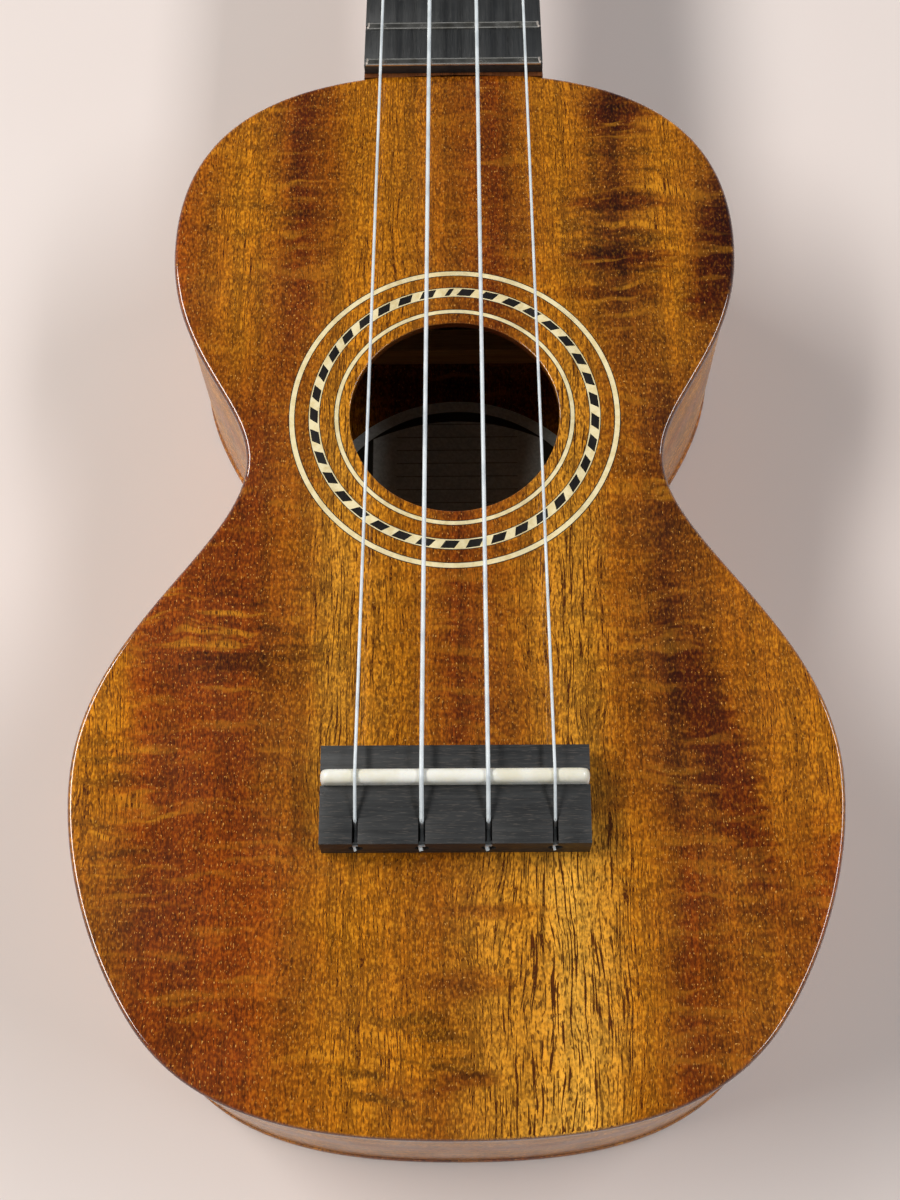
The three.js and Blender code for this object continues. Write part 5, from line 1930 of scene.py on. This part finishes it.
@dataclass
class Tuner:
    """A closed geared tuner: housing, bushing, post with its worm wheel, and button with its worm."""

    place: TunerPlace
    post_x: float = 18.0
    waist: float = 2.3
    post_top: float = 16.5
    wood: float = 12.0
    glue: float = 0.1
    gear_level: float = -18.0
    gear_teeth: int = 16
    gear_pitch: float = 5.0
    worm_y: float = -7.3
    worm_root: float = 1.6
    worm_tip: float = 2.6
    worm_half: float = 4.2
    button_start: float = 13.5
    button_length: float = 14.0
    button_half: float = 9.0
    button_thick: float = 3.3

    def post_frame(self) -> Matrix:
        """The tuner's frame: about its post, z = 0 at the headstock's wood."""
        return HEAD.matrix() @ Matrix.Translation((self.place.side * self.post_x, self.place.along, 0))

    def shaft_frame(self) -> Matrix:
        """The button's frame, with its axis along the local z, outwards."""
        turn = Matrix.Rotation(self.place.side * math.pi / 2, 4, "Y")
        return self.post_frame() @ Matrix.Translation((0, self.worm_y, self.gear_level)) @ turn

    def plan_ring(self, corners: Sequence[tuple[float, float, float]], z: float) -> list[Vector]:
        """A flat rounded outline on the headstock's back, at a height."""
        frame_here = self.post_frame()
        path = rounded(corners, 6)
        side = self.place.side
        return [frame_here @ Vector((side * u, v, z)) for u, v in path]

    def build_housing(self) -> bpy.types.Object:
        """The closed gear housing with its ear, hollow inside."""
        top, bottom = -self.wood - self.glue, -23.0
        round_ = 3.0
        box = [(-7.4, -11.6, round_), (8, -11.6, round_), (8, 7.8, round_), (-7.4, 7.8, round_)]
        body = skin("housing", [self.plan_ring(box, bottom), self.plan_ring(box, top)])
        ear = [(-4, 2.0, 1.0), (4, 2.0, 1.0), (4, 13.8, 3.9), (-4, 13.8, 3.9)]
        tab = skin("ear", [self.plan_ring(ear, top - 2), self.plan_ring(ear, top)])
        union = body.modifiers.new("ear", "BOOLEAN")
        union.operation, union.solver, union.object = "UNION", "EXACT", tab
        bake(body)
        bpy.data.objects.remove(tab)
        edit(body, settle)
        frame_here = self.post_frame()
        room = lathe("room", [(0, -22), (5.9, -22), (5.9, -14), (0, -14)], frame_here, 40)
        hole = lathe("hole", [(0, -15), (3.15, -15), (3.15, -10), (0, -10)], frame_here, 40)
        shaft = lathe("shaft", [(0, 0), (2.1, 0), (2.1, 12), (0, 12)], self.shaft_frame(), 32)
        screw = frame_here @ Matrix.Translation((0, 10.8, 0))
        pilot = lathe("pilot", [(0, -15), (1.2, -15), (1.2, -11), (0, -11)], screw, 24)
        slot = [(-5.6, -10.2, 0), (5.6, -10.2, 0), (5.6, -3, 0), (-5.6, -3, 0)]
        worm = skin("worm_room", [self.plan_ring(slot, -20.9), self.plan_ring(slot, -15.1)])
        piece = soften(cut(body, [room, hole, shaft, pilot, worm]), 0.7, 4, 50.0)
        piece.name = f"tuner_housing_{self.place.number}_fine"
        return piece

    def build_screws(self) -> bpy.types.Object:
        """The cross-headed screw in the ear."""
        number = self.place.number
        ear = self.post_frame() @ Matrix.Translation((0, 10.8, -14.1)) @ Matrix.Rotation(math.pi, 4, "X")
        dome = [(0, -4), (1.1, -4), (1.1, -0.2), (2.2, -0.2), (2.2, 0.2), (1.7, 0.8), (0.9, 1.1), (0, 1.15)]
        head = lathe(f"tuner_screws_{number}", dome, ear, 36)
        bars = []
        for turn in (0.3, 0.3 + math.pi / 2):
            place = ear @ Matrix.Rotation(turn, 4, "Z")
            corners = [(-1.3, -0.22), (1.3, -0.22), (1.3, 0.22), (-1.3, 0.22)]
            bars.append(skin("bar", [[place @ Vector((x, y, z)) for x, y in corners] for z in (0.55, 2.0)]))
        head = smooth(cut(head, bars), 35.0)
        return head

    def build_bushing(self) -> bpy.types.Object:
        """The bushing that holds the post in the headstock, with its collar."""
        above = self.glue + 2.0 + self.glue
        bore, collar = 3.1, 6.0
        profile = [
            (bore, -10), (4, -10), (4, above), (collar, above), (collar, above + 0.9), (
                collar - 0.25, above + 1.25
            ),
            (
                collar - 0.9, above + 1.45
            ), (5.0, above + 2.1), (4.6, above + 2.35), (3.6, above + 2.4), (bore, above + 2.1),
        ]
        return smooth(lathe(f"tuner_bushing_{self.place.number}_fine", profile, self.post_frame(), 56), 28.0)

    def build_post(self) -> bpy.types.Object:
        """The string post, waisted where the string winds, with its eye and a dimple in its end."""
        top = self.post_top
        waist = [
            (3, 5.0), (2.85, 5.35), (2.4, 5.9), (2.3, 6.3), (2.3, 9.8), (2.4, 10.6), (2.8, 11.6), (3, 12.1)
        ]
        crown = [
            (3, top - 1.2),
            (2.8, top - 0.55),
            (2.3, top - 0.12),
            (1.7, top),
            (1.1, top - 0.05),
            (0.6, top - 0.5),
            (0, top - 0.6),
        ]
        profile = [(0, -21.8), (1.4, -21.8), (1.4, -17.1), (3, -17.1), *waist, *crown]
        frame_here = self.post_frame()
        piece = lathe(f"tuner_post_{self.place.number}_fine", profile, frame_here, 48)
        turn = Matrix.Rotation(math.pi / 2, 4, "Y")
        eye = lathe(
            "eye",
            [(0, -6), (0.8, -6), (0.8, 6), (0, 6)],
            frame_here @ Matrix.Translation((0, 0, 9)) @ turn,
            24,
        )
        return smooth(cut(piece, [eye]), 35.0)

    def build_wheel(self) -> bpy.types.Object:
        """The brass worm wheel on the post."""
        frame_here = self.post_frame()
        path = []
        for tooth in range(self.gear_teeth):
            middle = -math.pi / 2 + math.tau * (tooth + 0.5) / self.gear_teeth
            for radius, offset in (
                (4.5, -0.52), (5.3, -0.3), (5.5, -0.2), (5.5, 0.2), (5.3, 0.3), (4.5, 0.52)
            ):
                path.append((radius, middle + offset / radius))
        rings = []
        for z, shrink in ((-19.4, 0.15), (-19.2, 0.0), (-16.8, 0.0), (-16.6, 0.15)):
            points = [Vector(((r - shrink) * math.cos(a), (r - shrink) * math.sin(a), z)) for r, a in path]
            rings.append([frame_here @ p for p in points])
        return smooth(skin(f"tuner_wheel_{self.place.number}", rings), 30.0)

    def build_winding(self, spec: StringSpec) -> bpy.types.Object:
        """The turns of string on the post, ending in its eye."""
        frame_here = self.post_frame()
        radius = self.waist + spec.diameter / 2 + 0.03
        inward = math.pi if self.place.side > 0 else 0.0
        turns, steps = 2.75, 132
        path = []
        for i in range(steps + 1):
            share = i / steps
            angle = inward - self.place.side * math.tau * turns * share
            z = 6.7 + spec.diameter / 2 + (spec.diameter + 0.05) * turns * share * 0.82
            path.append(frame_here @ Vector((radius * math.cos(angle), radius * math.sin(angle), z)))
        return tube(f"winding_{self.place.number}", path, spec.diameter / 2 * MM, 10)

    def build_worm(self) -> bpy.types.Object:
        """The shaft and its right-handed worm."""
        frame_here = self.shaft_frame()
        start = self.button_start
        pitch = math.tau * self.gear_pitch / self.gear_teeth
        profile = [
            (0, -5.3), (1.3, -5.3), (1.6, -5.0), (1.6, start - 2.9), (2.0, start - 2.7), (2.6, start - 2.6)
        ]
        profile += [(2.9, start - 1.2), (3.0, start + 0.3), (2.6, start + 0.6), (0, start + 0.6)]
        shaft = lathe(f"tuner_shaft_{self.place.number}", profile, frame_here, 40)
        per_turn = 28
        steps = int(self.worm_half / pitch * per_turn)
        rings = []
        for step in range(-steps, steps + 1):
            angle = math.tau * step / per_turn + math.pi / 2
            fade = min(1.0, (steps - abs(step)) / 8 + 0.05)
            tip = self.worm_root + (self.worm_tip - self.worm_root) * fade
            z = pitch * step / per_turn
            corners = [(-0.55, 1.4), (-0.22, tip), (0.22, tip), (0.55, 1.4)]
            rings.append(
                [frame_here @ Vector((r * math.cos(angle), r * math.sin(angle), z + dz)) for dz, r in corners]
            )
        return smooth(join(shaft, [skin("thread", rings)]), 40.0)

    def build_button(self) -> bpy.types.Object:
        """The flattened finger button."""
        frame_here = self.shaft_frame()
        start = self.button_start
        stations = [
            (0, 0.36), (0.25, 0.44), (0.9, 0.6), (2, 0.79), (4, 0.94), (6.5, 1.0), (9, 0.985), (11.2, 0.9)
        ]
        stations += [(12.8, 0.76), (13.6, 0.6), (13.93, 0.46), (14.0, 0.4)]
        rings = []
        for along, share in stations:
            ring = []
            for i in range(56):
                angle = math.tau * i / 56
                c, s = math.cos(angle), math.sin(angle)
                wide = self.button_half * share * math.copysign(abs(c) ** 0.86, c)
                flat = self.button_thick * (0.4 + 0.6 * share) * (
                    1 - 0.16 * math.exp(-((along - 7) / 4) ** 2) * c**4
                )
                thick = flat * math.copysign(abs(s) ** 0.8, s)
                ring.append(frame_here @ Vector((thick, wide, start + along)))
            rings.append(ring)
        return smooth(skin(f"tuner_button_{self.place.number}_fine", rings), 50.0)

    def build_cap_screw(self) -> bpy.types.Object:
        """The small slotted screw sunk in the button's end."""
        end = self.shaft_frame() @ Matrix.Translation((0, 0, self.button_start + self.button_length))
        dome = [(0, -2.0), (1.6, -2.0), (1.6, -0.15), (1.45, -0.02), (0, 0.0)]
        head = lathe(f"tuner_cap_{self.place.number}", dome, end, 32)
        corners = [(-0.2, -2), (0.2, -2), (0.2, 2), (-0.2, 2)]
        bar = skin("bar", [[end @ Vector((x, y, z)) for x, y in corners] for z in (-0.5, 1.0)])
        return smooth(cut(head, [bar]), 35.0)

    def build(self) -> None:
        """Builds and dresses the tuner."""
        number = self.place.number
        turning, post = f"button_{number}", f"post_{number}"
        spec = STRINGS[number - 1]
        fit(self.build_housing(), BODY, "tuner_chrome", FINISH.chrome, f"tuner_housing_{number}")
        fit(self.build_screws(), BODY, "tuner_chrome", FINISH.chrome)
        fit(self.build_bushing(), BODY, "tuner_chrome", FINISH.chrome, f"tuner_bushing_{number}")
        fit(self.build_post(), post, "tuner_chrome", FINISH.chrome, f"tuner_post_{number}")
        fit(self.build_wheel(), post, "tuner_chrome", FINISH.brass)
        fit(self.build_winding(spec), post, "string", FINISH.string)
        fit(self.build_button(), turning, "tuner_button", FINISH.button, f"tuner_button_{number}")
        fit(self.build_worm(), turning, "tuner_chrome", FINISH.chrome)
        fit(self.build_cap_screw(), turning, "tuner_chrome", FINISH.chrome)


# ---------------------------------------------------------------- strings


@dataclass
class Strings:
    """The four strings, from the bridge over the saddle and the nut to their posts."""

    bridge: Bridge
    neck: Neck
    nut_spacing: float = 9.24
    nut_floor: float = 4.2
    nut_slope: float = 0.12
    nut_thickness: float = 5.0
    lift: float = 0.022
    post_x: float = 18.0
    post_waist: float = 2.3
    post_level: float = 6.1

    def path(self, spec: StringSpec) -> list[Vector]:
        """The middle line of one string."""
        bridge, neck = self.bridge, self.neck
        radius = spec.diameter / 2
        lift = radius + self.lift
        x0, x1 = spec.order * bridge.spacing, spec.order * self.nut_spacing
        slot_top = TOP + bridge.height + lift
        crown = TOP + bridge.saddle_top + lift
        floor = TOP + self.nut_floor + lift
        low = bridge.slot_start - bridge.slot_run
        points = [spot(x0, bridge.tail + 0.5, slot_top - bridge.slot_drop)]
        points.append(spot(x0, low, slot_top - bridge.slot_drop))
        points.append(spot(x0, bridge.slot_start - 0.1, slot_top))
        half = bridge.saddle_thickness / 2
        reach = half + lift
        lean = math.radians(38)
        for i in range(7):
            angle = lean * (1 - i / 6)
            y = bridge.saddle_y - reach * math.sin(angle)
            points.append(spot(x0, y, crown - reach * (1 - math.cos(angle))))
        points.append(spot((x0 + x1) / 2, (bridge.saddle_y + neck.nut_y) / 2, (crown + floor) / 2))
        points.append(spot(x1, neck.nut_y + 0.4, floor))
        back = spot(x1, HEAD.start, floor - self.nut_slope * (self.nut_thickness - 0.4))
        points.append(back)
        place = TUNERS[spec.post - 1]
        side = place.side * (self.post_x - self.post_waist - radius - 0.1)
        points.append(HEAD.matrix() @ Vector((side, place.along, self.post_level)))
        return points

    def build(self) -> None:
        """Builds and dresses the strings."""
        for spec in STRINGS:
            piece = tube(spec.name + "_fine", self.path(spec), spec.diameter / 2 * MM, 16)
            fit(piece, BODY, "string", FINISH.string, spec.name)


# ---------------------------------------------------------------- studio


@dataclass(frozen=True)
class SoftBox:
    """A large lamp that faces the instrument; only its light shows."""

    name: str
    place: Triple
    width: float
    height: float
    power: float
    colour: Triple = (1.0, 1.0, 1.0)
    aim: Triple = (0.0, -0.1, 0.05)

    def build(self) -> None:
        """Hangs the lamp."""
        lamp = bpy.data.lights.new(self.name, "AREA")
        lamp.shape = "RECTANGLE"
        lamp.size, lamp.size_y = self.width, self.height
        lamp.energy = self.power
        lamp.color = self.colour
        holder = bpy.data.objects.new(self.name, lamp)
        bpy.context.scene.collection.objects.link(holder)
        way = Vector(self.aim) - Vector(self.place)
        holder.location = self.place
        holder.rotation_euler = way.to_track_quat("-Z", "Y").to_euler()
        holder.visible_camera = False


@dataclass
class Studio:
    """Floor, lamps, sky and camera."""

    camera_place: Triple = (0.00401, -0.29325, 0.40981)
    camera_turn: Triple = (0.369359, 0.01336198, -0.00685701)
    lens: float = 54.0
    sensor: float = 36.0
    floor_half: float = 4.0
    sky: tuple[tuple[float, float], ...] = ((0.0, 0.62), (0.3, 0.3), (0.65, 0.07), (1.0, 0.04))
    lamps: tuple[SoftBox, ...] = (
        SoftBox("left_panel", (-1.25, 0.1, 1.5), 1.6, 0.5, 34.3, (1.0, 0.98, 0.95)),
        SoftBox("right_panel", (1.25, -0.1, 1.5), 1.6, 0.35, 18.2, (0.97, 0.98, 1.0)),
    )

    def build_floor(self) -> bpy.types.Object:
        """The table top, level with the outside of the back."""
        half, steps = self.floor_half, 8
        points = []
        for j in range(steps + 1):
            for i in range(steps + 1):
                points.append(Vector((half * (2 * i / steps - 1), half * (2 * j / steps - 1), -0.0002)))
        faces = []
        for j in range(steps):
            for i in range(steps):
                a = j * (steps + 1) + i
                faces.append((a, a + 1, a + steps + 2, a + steps + 1))
        floor = mesh_from("floor", points, faces)
        paint(floor, FINISH.floor)
        return floor

    def build(self) -> None:
        """Sets up the studio."""
        self.build_floor()
        for lamp in self.lamps:
            lamp.build()
        world = bpy.data.worlds.new("sky")
        world.use_nodes = True
        graph = Shade(world.node_tree)
        up = graph.split(graph.node("ShaderNodeTexCoord").outputs["Generated"])[2]
        glow = graph.ramp(up, [(height, (level, level, level, 1.0)) for height, level in self.sky])
        graph.feed(world.node_tree.nodes["Background"].inputs["Color"], glow)
        scene = bpy.context.scene
        scene.world = world
        scene.view_settings.view_transform = "Standard"
        lens = bpy.data.cameras.new("camera")
        lens.lens = self.lens
        lens.sensor_width = self.sensor
        lens.clip_start = 0.01
        camera = bpy.data.objects.new("camera", lens)
        scene.collection.objects.link(camera)
        camera.location = self.camera_place
        turn_x, turn_y, turn_z = (Matrix.Rotation(a, 3, axis) for a, axis in zip(self.camera_turn, "XYZ"))
        camera.rotation_euler = (turn_x @ turn_y @ turn_z).to_euler()
        scene.camera = camera


def main() -> None:
    """Builds the instrument and the studio."""
    logging.basicConfig(level=logging.INFO, format="%(message)s")
    Studio().build()
    box = SoundBox()
    box.build()
    Rosette(box).build()
    bridge = Bridge()
    bridge.build()
    neck = Neck()
    neck.build()
    Strings(bridge, neck).build()
    for place in TUNERS:
        Tuner(place).build()


if __name__ == "__main__":
    main()
